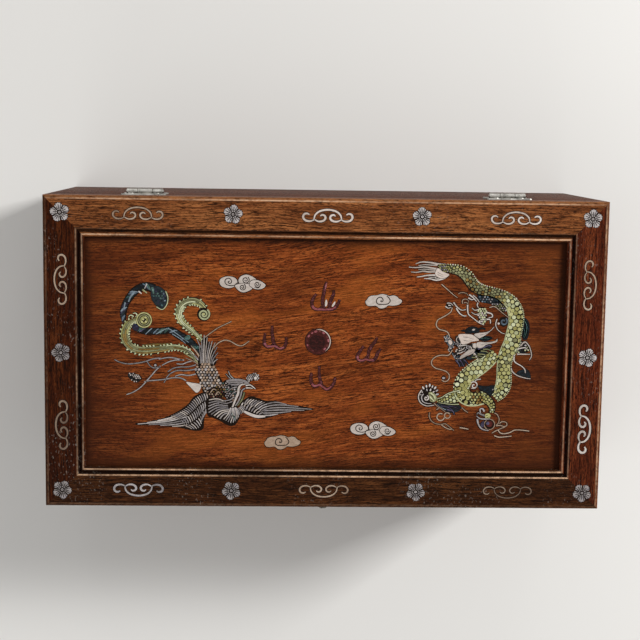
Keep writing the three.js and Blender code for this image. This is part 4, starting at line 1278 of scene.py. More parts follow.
    figure.dot(117.6, 22.4, 0.8, 5, "white")

    # Left foreleg and foot
    scale_rows(
        figure, [(93, -27.6, 4), (88.6, -29, 4), (84, -30, 3.2), (80, -31, 2), (77, -31.4, 1.4)], 4, pick,
    )
    strands(figure, 6, "pale_green", 0.35, [(92, -24), (88, -25), (84, -26.4), (80, -29), (77, -29.8)],
            [(92, -33.6), (87, -33.8), (82, -33.2), (78, -32.6)])
    figure.dot(*FOREFOOT, 6.2, 3, "mastic", count=22)
    patch(
        figure,
        [(71, -25.8), (73.6, -25.4), (76, -27.6), (76.6, -30.6), (74.6, -32.2), (72.2, -31.6), (71.6, -28.8)],
        4, "dim_green", 0.9,
    )
    for line in (
        [(71.6, -27), (73.4, -28), (74.6, -30.4)], [(73.8, -26.2), (75, -28)], [(72.4, -30.6), (74, -31.6)],
    ):
        figure.ribbon(strand(0.3, line, 0.7), 6, "mastic")
    for line in ([(72.4, -26.2), (74.4, -27.4), (75.6, -30)], [(71.8, -28.4), (73, -29.8), (74.6, -31.4)]):
        figure.ribbon(strand(0.4, line, 0.7), 7, "pale_green", tone=1.0)
    for turn, distance, reach in (
        (12, 6.2, 1.2), (34, 7.0, 1.1), (52, 7.4, 1.2), (68, 7.2, 1.0), (84, 7.6, 1.2), (102, 7.0, 1.1),
        (122, 6.8, 1.2), (146, 5.6, 1.1), (40, 4.6, 0.9), (72, 4.6, 1.0), (104, 4.4, 0.9), (170, 4.6, 1.0),
    ):
        x, y = polar(*FOREFOOT, distance, turn)
        figure.dot(x, y, reach + 0.35, 4, "mastic", 0.75, turn)
        figure.dot(x, y, reach, 5, choice(["white", "silver"]), 0.5, turn, 0.9)
    strands(
        figure, 5, "white", 0.5, [(66.2, -24), (64.4, -27), (64.2, -30), (66, -33.2), (70, -35), (75, -34.4)],
    )
    strands(figure, 6, "silver", 0.5, [(67.4, -26.6), (66.2, -29), (67.2, -32), (70, -33.2), (73, -33.4)])
    figure.inset(spiral(69.4, -29.6, 0.4, 1.9, 1.2, 0, 0.4), 6, "white", 0.3)
    strands(
        figure, 3, "cream", 0.42,
        [(75, -33), (77.4, -35.4), (80, -37), (82.6, -39)], [(76.6, -37.6), (78.4, -36.6)],
        [(72, -39.6), (71.8, -42), (73, -45), (76, -47.2), (80, -47.8), (83, -47.4), (86, -49.6), (89, -52)],
        [(80, -47.8), (83, -50), (86, -51.2), (88, -51)],
        [(94, -36), (96, -37.8), (98.4, -39.4)],
        [(93, -50), (96, -50.4), (99, -51)],
        tip=0.8,
    )
    figure.inset(spiral(79.6, -42.6, 2.4, 2.6, 0.8, 60, 0.4), 3, "cream", 0.25)
    figure.inset(spiral(84.2, -41.5, 1.8, 2.1, 0.95, 30, 0.4), 3, "cream", 0.25)

    # Right hind foot
    patch(
        figure, [(110.4, -40.4), (112.8, -39.8), (114.2, -41.4), (112.8, -43.2), (110.4, -42.8)], 9, "green",
        0.8,
    )
    for line in ([(110.6, -41.6), (112.4, -41)], [(111.4, -42.8), (113.2, -42.2)]):
        figure.ribbon(strand(0.25, line, 0.6), 11, "mastic")
    strands(
        figure, 8, "silver", 0.7, [(109.6, -38.6), (108.4, -36.6), (106.6, -37), (107, -39.4)],
        [(110, -41.4), (107.6, -40.6), (105.4, -39.4), (104.6, -40.6)],
        [(113.6, -43.4), (110, -43.8), (106.6, -43.4), (104.4, -41.6)],
        [(105, -44), (105.6, -47), (107.4, -50), (110, -51.4), (113, -51.8)],
    )
    figure.dot(113, -47.6, 4.2, 4, "mastic", count=24)
    figure.inset(spiral(113.4, -47.6, 3.5, 3.7, 0.9, 120, 0.3), 5, "cream", 0.2)
    figure.dot(113.4, -47.2, 2.2, 7, "garnet", count=14, tone=1.0)
    figure.dot(112.2, -46.8, 1.2, 8, "violet", tone=0.8)
    patch(figure, [(107.4, -47), (109.4, -45.4), (110, -48), (108.4, -50)], 5, "violet", 0.6)
    strands(
        figure, 5, "cream", 0.42,
        [(116.6, -39.6), (118.6, -40.6), (120, -43.6), (119.6, -46.4), (118, -48.4)],
        [(118, -48.6), (121, -48.2), (124, -49), (125.6, -47.8), (124.8, -46), (122, -45.6), (120.4, -46.8)],
        [(115.4, -53.6), (118, -52), (121.4, -50.4), (124.4, -49.2)],
        [(119.6, -51.4), (121, -53.4), (124, -54), (128, -53), (131, -51.4), (136, -51.4), (141, -52)],
        [(117, -55.4), (120, -56.4), (124, -56.2), (129, -55.6)],
        tip=0.8,
    )
    figure.finish("dragon_body", "green_shell")


def dragon_head():
    figure = Figure(PANEL_TOP, 83)
    patch(
        figure,
        [(94, -1), (99, 0), (102, 3.4), (104, 5.6), (108, 4.6), (110, 2), (107, 0), (103, -1.6), (98, -2.6)],
        3, "ink",
    )
    strands(
        figure, 4, "dim_green", 0.5, [(100, -1), (104, -1.4), (108, -3)], [(104, 1.4), (108, 1), (111, -0.6)],
        [(106, 3.4), (109.6, 3), (112.6, 1)], [(101, 0.6), (105, 0), (109, -1)],
        [(107.6, 4.6), (111, 4.6), (114, 3)],
    )
    strands(figure, 4, "white", 0.4, [(101, 1.6), (103.4, -1), (105, -4)], [(99, 3), (102, 1.4), (103.6, -1)])
    patch(
        figure,
        [(86, 2.4), (88, -1.4), (90.6, -4), (93.4, -7.4), (95.6, -6.4), (95, -3), (97, -0.6), (91, 0.6)], 3,
        "ink",
    )
    strands(
        figure, 5, "violet", 0.5, [(89, -3), (91, -5.4), (92, -7.8)],
        [(91.6, -2.6), (93.4, -5), (94.6, -7.4)], [(94.4, -2.6), (96.4, -4.4), (98, -6.6)],
    )
    beaded(
        figure, [(86.4, 2), (88.6, 0.4), (92, -1.6), (90.4, -3.4), (88, -1.6)], 5,
        ["silver", "slate", "white"], 1.2,
    )
    patch(
        figure, [(95, 16), (95.6, 18.4), (98.6, 20), (102.6, 19.6), (104.6, 17), (101, 15.8), (98, 15.6)], 3,
        "ink",
    )
    figure.dot(100.6, 18, 1.1, 5, "white", 0.6, 20)
    strands(
        figure, 2, "ink", 0.5, [(96, 16.6), (94, 17.4), (92.4, 17)], [(103, 18), (106, 19), (108.6, 18.6)],
    )
    patch(
        figure, [(104.6, 11.4), (107, 13.2), (111, 13.6), (113.6, 12.4), (111, 10.8), (108, 10.2)], 3, "ink",
    )
    strands(figure, 4, "teal", 0.4, [(106, 12), (109, 12.4), (112, 12)])
    patch(
        figure, [(101, 4.4), (106, 5.4), (110, 7.8), (113.6, 7), (111.5, 5), (107, 4.4), (104, 2)], 3, "ink",
    )
    strands(figure, 5, "violet", 0.55, [(104, 4.8), (108, 6), (111, 7.2), (113, 6.8)])

    # Snout, cheek and jaw: pale beads and curls on mastic
    beaded(
        figure,
        [
            (80.6, 12.6), (82.4, 14), (85.6, 12), (87.4, 9), (87.4, 6.6), (86, 4), (84.6, 2.6), (83.6, 4.6),
            (83.8, 7), (81.4, 9.6),
        ],
        4, ["silver", "white", "silver", "slate"], 1.15, 0.42,
    )
    patch(figure, [(83.6, 10.4), (85.2, 10.8), (86.4, 8.8), (85.2, 7.4), (83.8, 8.4)], 6, "pearly", 0.5)
    beaded(
        figure,
        [
            (88.4, 13), (90.4, 13.6), (91.6, 10), (93, 7.6), (98, 7.8), (101.4, 8.8), (103.4, 6.4),
            (101, 4.2), (97.4, 3.6), (93, 2.4), (90, 0.6), (88.6, 3), (90.6, 5.6), (88, 7), (87.6, 9.4),
            (89.6, 10),
        ],
        4, ["silver", "white", "silver", "ink"], 1.2, 0.43,
    )
    strands(
        figure, 6, "white", 0.4, [(91, 6.8), (93.4, 7), (95.4, 7.4), (98, 7)],
        [(89.6, 9.4), (89, 11.4), (90, 13.2)], [(91, 3.4), (93.6, 4.4), (95, 6)],
        [(98.6, 6.4), (99.6, 5), (98.6, 3.8)], [(90, 1.6), (92.4, 2), (94, 3)],
    )
    patch(
        figure,
        [
            (91.6, -2.2), (94, -1.4), (97, 0.2), (100.4, 1.6), (102, 4), (100, 4.8), (97, 3.6), (94.6, 1.6),
            (92.4, 0),
        ],
        6, "white", 0.2,
    )
    patch(
        figure,
        [
            (90.5, 14.6), (95, 15), (99.5, 14.6), (102.5, 12.8), (104.5, 10.8), (102, 10.2), (99.5, 9.8),
            (97, 8.6), (93, 7.8), (92, 9.5), (91.2, 11.5), (90.4, 12.8),
        ],
        6, "pearly", 0.5,
    )
    patch(figure, [(101, 14.8), (104, 15.8), (108, 16.2), (111, 17), (113, 18.5), (114.6, 20.5), (114, 19),
                   (111, 16.2), (108.5, 14.2), (106, 12.8), (104.8, 12.1), (103, 13)], 7, "white", 0.5)
    patch(
        figure,
        [
            (103, 9), (105, 9.7), (109, 9.4), (113, 9.8), (116, 10.6), (117, 12), (116.8, 10), (113, 8.6),
            (109.5, 7.8), (107, 5.8), (104, 5.6), (102.8, 7),
        ],
        7, "white", 0.5,
    )
    patch(figure, [(100.6, 8.4), (102.6, 8.6), (103.4, 6.6), (102, 5.2), (100.4, 6)], 6, "white", 0.5)
    figure.dot(*DRAGON_EYE, 1.8, 7, "mastic", 0.8, 20, count=14)
    figure.dot(*DRAGON_EYE, 1.35, 8, "silver", 0.75, 20, count=14)
    figure.dot(97.1, 6, 0.7, 9, "mastic")
    for points in (
        [(93.6, 13), (97, 12.6), (101, 11.4)], [(94, 10.8), (97, 10.2), (100, 10.4)],
        [(105, 14.4), (108.5, 15.2), (112, 17.2)], [(105.5, 7.6), (109.5, 8.6), (114, 9.6)],
        [(95, -0.4), (98, 1.4), (100.6, 3)],
    ):
        figure.ribbon(strand(0.22, points), 9, "silver", tone=0.0)
    strands(
        figure, 3, "cream", 0.42,
        [
            (84.2, 13.6), (83, 16), (80.6, 17.2), (77, 18.2), (75, 21), (76, 24.4), (79, 26.2), (82, 28),
            (84.8, 30.2), (85.6, 33),
        ],
        [
            (86.4, 4), (84.6, 0.8), (82.6, 0.1), (79, 0.2), (75.4, -0.8), (72.9, -3), (72.5, -6), (75, -8.6),
            (78.6, -9.6), (82.6, -11), (84.8, -13.4), (84.4, -16.6), (82, -18), (79.8, -17),
        ],
        tip=0.9, bed=0.35,
    )
    figure.dot(*WHISKER_END, 1.7, 3, "mastic")
    figure.dot(*WHISKER_END, 1.1, 4, "silver", 0.7)
    figure.finish("dragon_head", "white_shell")


dragon_tail_fin()
dragon_body()
dragon_head()


# Phoenix

FIBRES = 4


def plume(figure, spine, layer, shells, frill):
    """A feather of long fibres on mastic, with small round frills along its edges."""
    figure.ribbon(spine, layer, "mastic", grow=BED_BORDER)
    line = evenly(spine, 1.2)
    for k in range(FIBRES):
        share = (2 * k + 1) / FIBRES - 1
        at = 0
        while at < len(line) - 3:
            length = figure.random.randint(6, 12)
            part = line[at:at + length + 1]
            half = max(0.22, sum(p.z for p in part) / len(part) / FIBRES - 0.16)
            if len(part) > 2:
                figure.ribbon(beside(part, share * 0.9, half), layer + 1, figure.random.choice(shells))
            at += length
    for point, way in list(zip(line, headings(line)))[6::2]:
        for side in (1, -1):
            if figure.random.random() < 0.15:
                continue
            spot = point.xy + left_of(way) * side * (point.z + 0.1)
            size = frill * figure.random.uniform(0.8, 1.2)
            turn = math.degrees(math.atan2(way.y, way.x)) + 55 * side
            figure.dot(*spot, size + 0.3, layer, "mastic", 0.8, turn)
            figure.dot(*spot, size, layer + 1, "pale_green", 0.62, turn)


LEAF_LENGTH = 3.2
LEAF_HALF = 0.75
LEAF_PITCH = 1.5


def slanted(figure, spine, layer, shells, lean):
    """Overlapping leaves that cross a spine at a slant."""
    figure.ribbon(spine, layer, "mastic", grow=BED_BORDER)
    line = evenly(spine, LEAF_PITCH)
    for i, (point, way) in enumerate(zip(line, headings(line))):
        side = left_of(way) * lean * point.z
        start = point.xy - way * LEAF_LENGTH * 0.6 - side * 0.75
        end = point.xy + way * LEAF_LENGTH * 0.6 + side * 0.75
        bend = point.xy + way * LEAF_LENGTH * 0.1 - side * 0.1
        leaf = [(*start, LEAF_HALF * 0.4), (*bend, LEAF_HALF), (*end, LEAF_HALF * 0.3)]
        figure.ribbon(leaf, layer + 1 + i % 2, shells[figure.random.randrange(len(shells))])


LOW_PLUME_EYE = (-123, 22.3)
HIGH_PLUME_EYE = (-82.7, 26.6)


def phoenix_low_plume():
    figure = Figure(PANEL_TOP, 91)
    main = [
        (-88, -4, 1.2), (-92, 0.6, 1.5), (-97, 3, 1.8), (-103, 4, 2.0), (-109, 3, 2.2), (-115, 2.2, 2.5),
        (-121, 1.6, 2.8), (-127, 1.8, 2.8), (-132, 4, 2.8), (-135.6, 8.6, 2.8), (-136, 14, 2.8),
        (-134, 19, 2.5), (-130, 22, 2.0), (-126.5, 23.4, 1.5),
    ]
    brown = [(-104, 6.4, 0.5), (-111, 5.6, 0.9), (-118, 5.4, 0.8), (-124, 5, 0.4)]
    figure.inset(brown, 0, "ochre")
    plume(figure, main, 1, ["green", "dim_green", "dim_green", "pale_green", "ochre"], 0.8)
    figure.dot(*LOW_PLUME_EYE, 5.6, 5, "mastic", count=28)
    for reach, half, shell_name in ((4.9, 0.4, "green"), (3.5, 0.42, "dim_green"), (2.1, 0.5, "green")):
        ring = [(*polar(*LOW_PLUME_EYE, reach, 20 * i), half) for i in range(19)]
        figure.ribbon(ring, 6, shell_name)
    for x, y in ((-123.6, 22.8), (-124.4, 21), (-122, 24), (-121.8, 21.2)):
        figure.dot(x, y, 0.75, 7, "green", tone=1.0)
    strands(
        figure, 5, "pale_green", 0.5, [(-130, 24.6), (-132, 25.6), (-133.4, 24.2)],
        [(-127.6, 25.4), (-128.6, 27), (-130.4, 26.6)],
    )
    figure.finish("phoenix_low_plume", "green_shell")


def phoenix_high_plume():
    figure = Figure(PANEL_TOP, 92)
    spine = [
        (-82, 5, 1.0), (-85, 10, 1.4), (-89, 14, 1.7), (-94, 18, 2.0), (-98, 22, 2.3), (-99.6, 27, 2.5),
        (-98.4, 31.6, 2.5), (-94.6, 34.8, 2.5), (-89.6, 35.6, 2.4), (-85, 33.8, 2.2), (-81.6, 30.4, 1.6),
    ]
    plume(figure, spine, 0, ["green", "pale_green", "dim_green", "dim_green"], 0.85)
    figure.dot(*HIGH_PLUME_EYE, 4.6, 3, "mastic", count=24)
    figure.ribbon(spiral(*HIGH_PLUME_EYE, 0.6, 4.0, 1.9, 90, 0.55), 4, "pale_green")
    figure.dot(-82.7, 26.8, 0.9, 5, "green", tone=1.0)
    figure.finish("phoenix_high_plume", "green_shell")


def phoenix_dark_plume():
    shells = ["ink", "ink", "teal", "ink", "slate", "ink", "violet", "ink"]
    root = Figure(PANEL_TOP, 93)
    spine = [
        (-84, 0, 1.2), (-88, 4, 2.0), (-93, 8.4, 2.6), (-99, 12, 2.6), (-105, 15.4, 2.3), (-110, 15, 2.1),
        (-116, 14.6, 2.1), (-122, 14.8, 2.1), (-127, 16, 2.0),
    ]
    slanted(root, spine, 1, shells, 1)
    patch(root, [(-96, 10.4), (-93, 12.4), (-91.6, 10.6), (-94, 8.6)], 5, "teal", 0.7)
    for line in (
        [(-115, 12.8), (-111, 15), (-107.4, 16.8)], [(-107, 17), (-103, 14.6), (-98, 11), (-93, 7.4)],
        [(-104, 13), (-99, 10), (-95, 6.6)], [(-122, 12.6), (-119.6, 15), (-117.6, 16.8)],
    ):
        root.ribbon(strand(0.3, line, 0.7), 5, "slate", tone=1.0)
    patch(root, [(-131, 18), (-129, 19.6), (-126.6, 17.6), (-127.6, 15), (-130, 15.6)], 4, "violet")
    root.finish("phoenix_dark_plume_root", "dark_shell")

    tip = Figure(PANEL_TOP, 94)
    spine = [
        (-136.6, 22, 1.4), (-137, 27, 2.1), (-135.4, 33, 2.2), (-132, 38.6, 2.4), (-127.6, 43, 2.6),
        (-121.6, 45, 2.8), (-116, 43.6, 3.0),
    ]
    slanted(tip, spine, 0, shells, -1)
    patch(
        tip,
        [
            (-117, 45), (-113, 45), (-108.8, 42), (-106.9, 37.5), (-107.9, 32.5), (-111, 30.2), (-114.4, 32),
            (-117.4, 36), (-118.4, 40.6),
        ],
        3, "ink",
    )
    beaded(tip, [(-116, 43.6), (-110, 41.6), (-108, 36), (-110.6, 31.6), (-115.6, 35), (-117, 40)], 4,
           ["ink", "violet", "teal", "slate", "ink"], 1.9, 0.36, False)
    tip.inset(
        strand(
            0.32, [(-108.4, 42), (-107, 38), (-107.4, 33.6), (-109.4, 30.4), (-111.4, 29.6), (-114.6, 31.4)],
            0.8,
        ),
        6, "pale_green", 0.2,
    )
    for half, line, shell_name in (
        (0.7, [(-129.6, 41), (-132, 38), (-133.4, 34.6)], "slate"),
        (0.5, [(-135.6, 34), (-136.8, 29)], "slate"), (0.5, [(-126.6, 41.8), (-124.6, 40.2)], "white"),
        (0.6, [(-124, 43), (-121, 40.6)], "dim_green"), (0.8, [(-117.4, 44.6), (-116.6, 40.4)], "teal"),
        (0.4, [(-121, 47), (-122.6, 43.6)], "silver"),
    ):
        tip.ribbon(strand(half, line, 0.6), 6, shell_name, tone=0.9)
    tip.finish("phoenix_dark_plume_tip", "dark_shell")


LEFT_WING = [
    (-79, -26), (-84, -27.5), (-89, -30), (-93, -35), (-98, -39), (-105, -43), (-113, -46), (-122, -48),
    (-129, -49), (-127, -50), (-118, -49.8), (-108, -50.6), (-99, -51.4), (-92, -53), (-86, -53.5),
    (-83, -52), (-82.5, -48), (-82, -44), (-80.5, -40), (-79.5, -36), (-79, -30),
]
RIGHT_WING = [
    (-57, -34), (-54, -31), (-50, -29.5), (-45, -31), (-40, -32.5), (-34, -32.5), (-30, -34), (-24, -35),
    (-18, -36), (-12, -36.8), (-7.5, -38), (-14, -39.3), (-22, -39.8), (-30, -41.4), (-37, -43.5),
    (-42, -44.8), (-47, -44.5), (-52, -42), (-57, -40), (-58, -37),
]


def phoenix_left_wing(figure):
    figure.tile(grown(rounded(LEFT_WING), 0.2), 0, "mastic")
    for start, middle, end in (
        ((-97, -41), (-104, -44.4), (-114, -46.8)), ((-95, -42.4), (-105, -45.8), (-121, -48.2)),
        ((-94, -44), (-108, -47.4), (-127.5, -49.3)), ((-93.6, -45.8), (-105, -48.4), (-120, -49.7)),
        ((-93.6, -47.6), (-102, -49.4), (-112, -50.1)), ((-93.6, -49.6), (-99, -50.4), (-104, -50.8)),
    ):
        figure.ribbon([(*start, 0.3), (*middle, 0.38), (*end, 0.25)], 1, figure.random.choice(FEATHERS))
    lines = (
        [(-79.4, -26.8), (-84, -28.2), (-88.8, -31), (-93, -35.8), (-98, -40), (-105, -43.4)],
        [(-78.6, -32.4), (-82.4, -33.6), (-86, -36.6), (-89.6, -40.6), (-93.6, -43.4), (-98, -46)],
        [(-79.4, -37), (-81.6, -38.8), (-83.8, -41.8), (-86.4, -45), (-90.4, -48), (-95, -50.4)],
        [(-81.2, -42), (-82.6, -44.4), (-83.6, -47.4), (-84, -50), (-86, -52.6), (-90, -52.6)],
    )
    for row, count in enumerate((19, 14, 10)):
        quills(figure, lines[row], lines[row + 1], count, 6 - 2 * row, 0.31, 0.06)


def phoenix_right_wing(figure):
    figure.tile(grown(rounded(RIGHT_WING), 0.2), 0, "mastic")
    for start, middle, end in (
        ((-40, -34.6), (-33, -33.4), (-26, -34.9)), ((-40, -36.2), (-31, -35.2), (-18, -36.2)),
        ((-41, -37.8), (-28, -37), (-9, -38)), ((-42, -39.4), (-30, -38.7), (-14, -38.8)),
        ((-42, -41), (-32, -40.6), (-23, -39.7)), ((-42, -42.6), (-37, -42.4), (-32, -41.6)),
    ):
        figure.ribbon([(*start, 0.35), (*middle, 0.42), (*end, 0.25)], 1, figure.random.choice(FEATHERS))
    quills(figure, [(-55, -35), (-51, -36), (-47, -37.6), (-43.6, -40)],
           [(-51.6, -30.6), (-46.4, -31.4), (-40, -33.2), (-36.4, -37.2)], 9, 3, 0.36, 0.08)
    quills(figure, [(-57, -37), (-53, -39), (-49, -40.6), (-45, -42)],
           [(-55.6, -33.4), (-51, -34.6), (-46.6, -36.6), (-41.6, -40.4)], 7, 5, 0.4, 0.08)
    figure.inset(
        [(-57, -38.6, 0.5), (-52.5, -41.2, 0.9), (-46.5, -43.3, 1.0), (-40.6, -43.2, 0.6)], 6, "white", 0.25,
        tone=0.8,
    )


def phoenix_tail_strands(figure):
    strands(
        figure, 0, "silver", 0.5,
        [(-112, -3.6), (-117, -4.2), (-122, -6), (-128, -7.3), (-134, -7.8), (-139, -6.8), (-143, -5)],
        [(-97, -5), (-102, -3.6), (-107, -3.2), (-113, -4.4)],
        [(-96, -4.8), (-101, -4.8), (-106, -6), (-111, -8.6)],
        [(-112, -9.6), (-116, -10.4), (-119, -9), (-121, -6)],
        [(-112, -9), (-115, -12), (-118, -15.6), (-121, -19), (-125, -23.5), (-130, -27), (-135, -29)],
        [(-88, -8), (-93, -9.4), (-98, -9.6), (-103, -10.5), (-107, -13)],
        [(-88, -11), (-94, -12), (-100, -12), (-104, -13.4), (-107, -16), (-109.5, -20.5)],
        [(-88, -14.4), (-93, -15.4), (-98, -14.8), (-102, -16)],
        [(-94.6, -19), (-98, -17.3), (-103, -17), (-108, -18), (-114, -18.8), (-120, -19.3), (-123, -20)],
        [(-88, -5), (-93, -6), (-97, -7.6), (-101, -7.4)],
        tip=0.7, bed=0.32,
    )
    figure.dot(-115.4, -8.6, 1.4, 0, "mastic")
    figure.dot(-115.4, -8.6, 0.8, 1, "silver")
    beaded(
        figure, [(-133.5, -14.4), (-128.6, -14.6), (-124.6, -17.6), (-128, -20.4), (-132.6, -18)], 0,
        ["silver", "white", "ink"], 1.3, 0.4,
    )
    strands(
        figure, 0, "cream", 0.42,
        [(-83, 10), (-78, 14), (-73, 17.5), (-68, 20), (-64, 22)],
        [(-77.6, 0), (-76, 3.6), (-73, 7), (-69, 9), (-65, 8.5), (-60, 5.8), (-56.4, 5.6), (-52, 8.6)],
        tip=0.8, bed=0.35,
    )
    for i, (x, y) in enumerate(((-95, -3.4), (-96, 0), (-94.6, 3), (-91.4, 5.4), (-89, 7), (-87, 9))):
        start = (-85.4 + 0.4 * i, -8.4 + 0.5 * i)
        bend = (start[0] * 0.5 + x * 0.5 + 1.2, start[1] * 0.5 + y * 0.5)
        figure.inset(
            [(*start, 0.4), (*bend, 0.45), (x, y, 0.2)], 1, ("cream", "dim_green", "silver")[i % 3], 0.25,
        )
    figure.tile(
        rounded(
            [(-86, -8), (-85.4, 0), (-84, 8), (-81.6, 11), (-79.4, 7.6), (-77, 4.6), (-75, -1), (-75, -8)]
        ),
        2, "mastic",
    )
    tips = (
        (-85.8, 5), (-84.2, 9), (-82.4, 12.4), (-80.4, 11), (-78.8, 8), (-77, 8.4), (-75, 7.4), (-73.6, 4.4),
        (-73, 0.6), (-73.4, -4),
    )
    for i, (x, y) in enumerate(tips):
        start = (-85 + 0.98 * i, -8.6 + 0.2 * abs(i - 4))
        bend = (start[0] * 0.7 + x * 0.3 - 0.1 * (i - 4), start[1] * 0.55 + y * 0.45)
        figure.inset([(*start, 0.24), (*bend, 0.3), (x, y, 0.18)], 3, figure.random.choice(FEATHERS), 0.32)


def phoenix_bird():
    figure = Figure(PANEL_TOP, 95)
    phoenix_left_wing(figure)
    phoenix_right_wing(figure)
    phoenix_tail_strands(figure)
    patch(
        figure, [(-94.5, -20), (-91.4, -23.6), (-87.5, -27.2), (-85, -25), (-84.8, -21.6), (-90, -20.5)], 5,
        "white", 0.8,
    )
    beaded(
        figure,
        [
            (-86.4, -8), (-81, -7), (-76, -8), (-74, -12), (-71.4, -17), (-69.4, -21), (-67, -26), (-69, -30),
            (-76, -30.4), (-82, -28), (-84, -23), (-86, -17), (-88.4, -12),
        ],
        6, ["silver", "cream", "cream", "white"], 2.2, 0.41,
    )
    beaded(figure, [(-79, -25), (-72.4, -22.6), (-68, -25), (-69, -30), (-77, -30.4), (-80, -28)], 8,
           ["ochre", "wine", "garnet", "cream"], 2.0, 0.32)
    strands(
        figure, 9, "cream", 0.45, [(-78, -27), (-76, -24.6), (-74, -25.4)],
        [(-74.6, -29), (-73, -26.4), (-71.4, -27.6)],
    )

    # Breast
    breast = [
        (-80, -31), (-74, -30.6), (-68, -32), (-63, -34), (-59, -38), (-58, -43), (-60.6, -48.6), (-64, -50),
        (-68, -48.4), (-72, -46), (-77, -44), (-80, -42),
    ]
    figure.tile(grown(rounded(breast), 0.2), 7, "mastic")
    quills(figure, [(-79.6, -32), (-80, -36), (-80, -41), (-76, -43.4), (-72, -45.4)],
           [(-66, -33.6), (-64.4, -35.4), (-64, -37), (-64, -38.6), (-64, -40)], 8, 7, 0.38, 0.12)
    quills(figure, [(-64, -37), (-63, -37), (-62, -36.8), (-61, -36.6)],
           [(-69.6, -46.6), (-65.6, -49), (-62, -49), (-58.6, -45)], 7, 9, 0.32, 0.08)
    strands(figure, 9, "teal", 0.5, [(-63.4, -41), (-62.4, -44.4)], [(-61.6, -43), (-61.4, -46)])
    quills(
        figure, [(-60, -37.6), (-58.6, -37), (-57.4, -36)], [(-57.8, -43), (-55.4, -41.4), (-53.6, -39)], 4,
        9, 0.3, 0.1,
    )

    # Neck, head and crest
    beaded(
        figure,
        [
            (-69, -19.5), (-65, -18), (-60, -19), (-58, -24), (-60, -30), (-64, -32.6), (-68, -30),
            (-69.5, -24),
        ],
        8, ["silver", "ink", "silver", "teal", "cream"], 1.7, 0.36,
    )
    strands(
        figure, 10, "silver", 0.45, [(-60, -20.6), (-64, -20.6), (-68, -22.6)],
        [(-60, -23), (-63.6, -24), (-66.6, -26.6)], [(-60.6, -26), (-63, -27.6), (-64.6, -30)],
        [(-62, -30), (-65, -32), (-69, -32.6)], [(-63, -33), (-67, -34.4), (-72, -33.8)],
    )
    figure.inset(
        [(-61, -36, 0.4), (-59, -33, 0.5), (-57.4, -29, 0.5), (-56.6, -25.4, 0.45), (-54.6, -24, 0.4)], 9,
        "silver", 0.5, tone=0.3,
    )
    figure.inset(
        [(-59.6, -36, 0.3), (-57, -32.6, 0.45), (-55.6, -29, 0.45), (-55, -26.4, 0.3)], 9, "dim_green", 0.5,
        tone=0.3,
    )
    figure.inset(
        [
            (-63, -37, 0.5), (-61, -31.8, 0.65), (-59.2, -27.4, 0.75), (-58.8, -23.8, 0.7),
            (-57.2, -21.6, 0.5), (-54, -20.8, 0.35),
        ],
        11, "white", 0.4, tone=0.7,
    )
    patch(
        figure,
        [
            (-67.4, -19), (-64, -17.6), (-59, -17.4), (-54.6, -18.2), (-51.6, -20.4), (-52, -22),
            (-56, -21.4), (-60, -22), (-64, -21.6),
        ],
        10, "silver", 0.2,
    )
    for points in ([(-66, -19.6), (-60, -19), (-55, -19.6)], [(-64, -20.8), (-59, -20.4), (-54, -21)]):
        figure.ribbon(strand(0.2, points), 12, "mastic")
    strands(
        figure, 11, "white", 0.55, [(-54, -22), (-51, -21.6), (-48.4, -23.4), (-47.6, -24.2)],
        [(-54, -23.6), (-51, -23.6), (-49.4, -24)],
    )
    figure.dot(-55.4, -20.2, 0.5, 13, "mastic")
    beaded(
        figure,
        [
            (-53.6, -18), (-52.6, -15), (-49.6, -13.6), (-46.4, -13.8), (-45, -16.4), (-46.6, -18.4),
            (-49.6, -17.6), (-51.6, -19.6),
        ],
        9, ["silver", "silver", "white"], 1.3, 0.4,
    )
    figure.dot(-47.6, -16.8, 1.0, 11, "white", tone=1.0)
    strands(
        figure, 8, "silver", 0.38, [(-61, -18.4), (-64.4, -15.4), (-66, -12)],
        [(-63, -18.4), (-65.4, -16.4), (-67.6, -14)],
    )
    figure.finish("phoenix_bird", "white_shell")


phoenix_low_plume()
phoenix_high_plume()
phoenix_dark_plume()
phoenix_bird()


# Hinges and latch

(_, pin_low_y, pin_low_z), (_, pin_high_y, pin_high_z) = corners("left_hinge_pin")
HINGE_Y = (pin_low_y + pin_high_y) / 2
HINGE_Z = (pin_low_z + pin_high_z) / 2
LEAF_BACK = BACK
LEAF_FRONT = BACK + 1.0
LEAF_EDGE = 0.25
BARREL_RADIUS = 2.1
BORE_RADIUS = 1.2
PIN_RADIUS = 1.1
PIN_HEAD_RADIUS = 1.28
PIN_OVERHANG = 0.5
BARREL_LENGTH = 24.6
KNUCKLE = 5.0
KNUCKLE_GAP = 0.3
KNUCKLE_ROUNDING = 0.18
KNUCKLE_END_SHARE = 0.92
TAB = 2.6
SCREW_SPREAD = 8.5
SCREW_ROW = 7.1
SCREW_RADIUS = 1.98
SCREW_DOME = 0.38
SLOT_DEGREES = 8


def skin(mesh, rings, closed=False):
    """Joins rings of points into one surface, capped at both ends unless it is closed."""
    rows = [[mesh.verts.new(point) for point in ring] for ring in rings]
    pairs = list(zip(rows, rows[1:])) + ([(rows[-1], rows[0])] if closed else [])
    for first, second in pairs:
        for i in range(len(first)):
            j = (i + 1) % len(first)
            mesh.faces.new((first[i], first[j], second[j], second[i]))
    if not closed:
        mesh.faces.new(rows[0][::-1])
        mesh.faces.new(rows[-1])


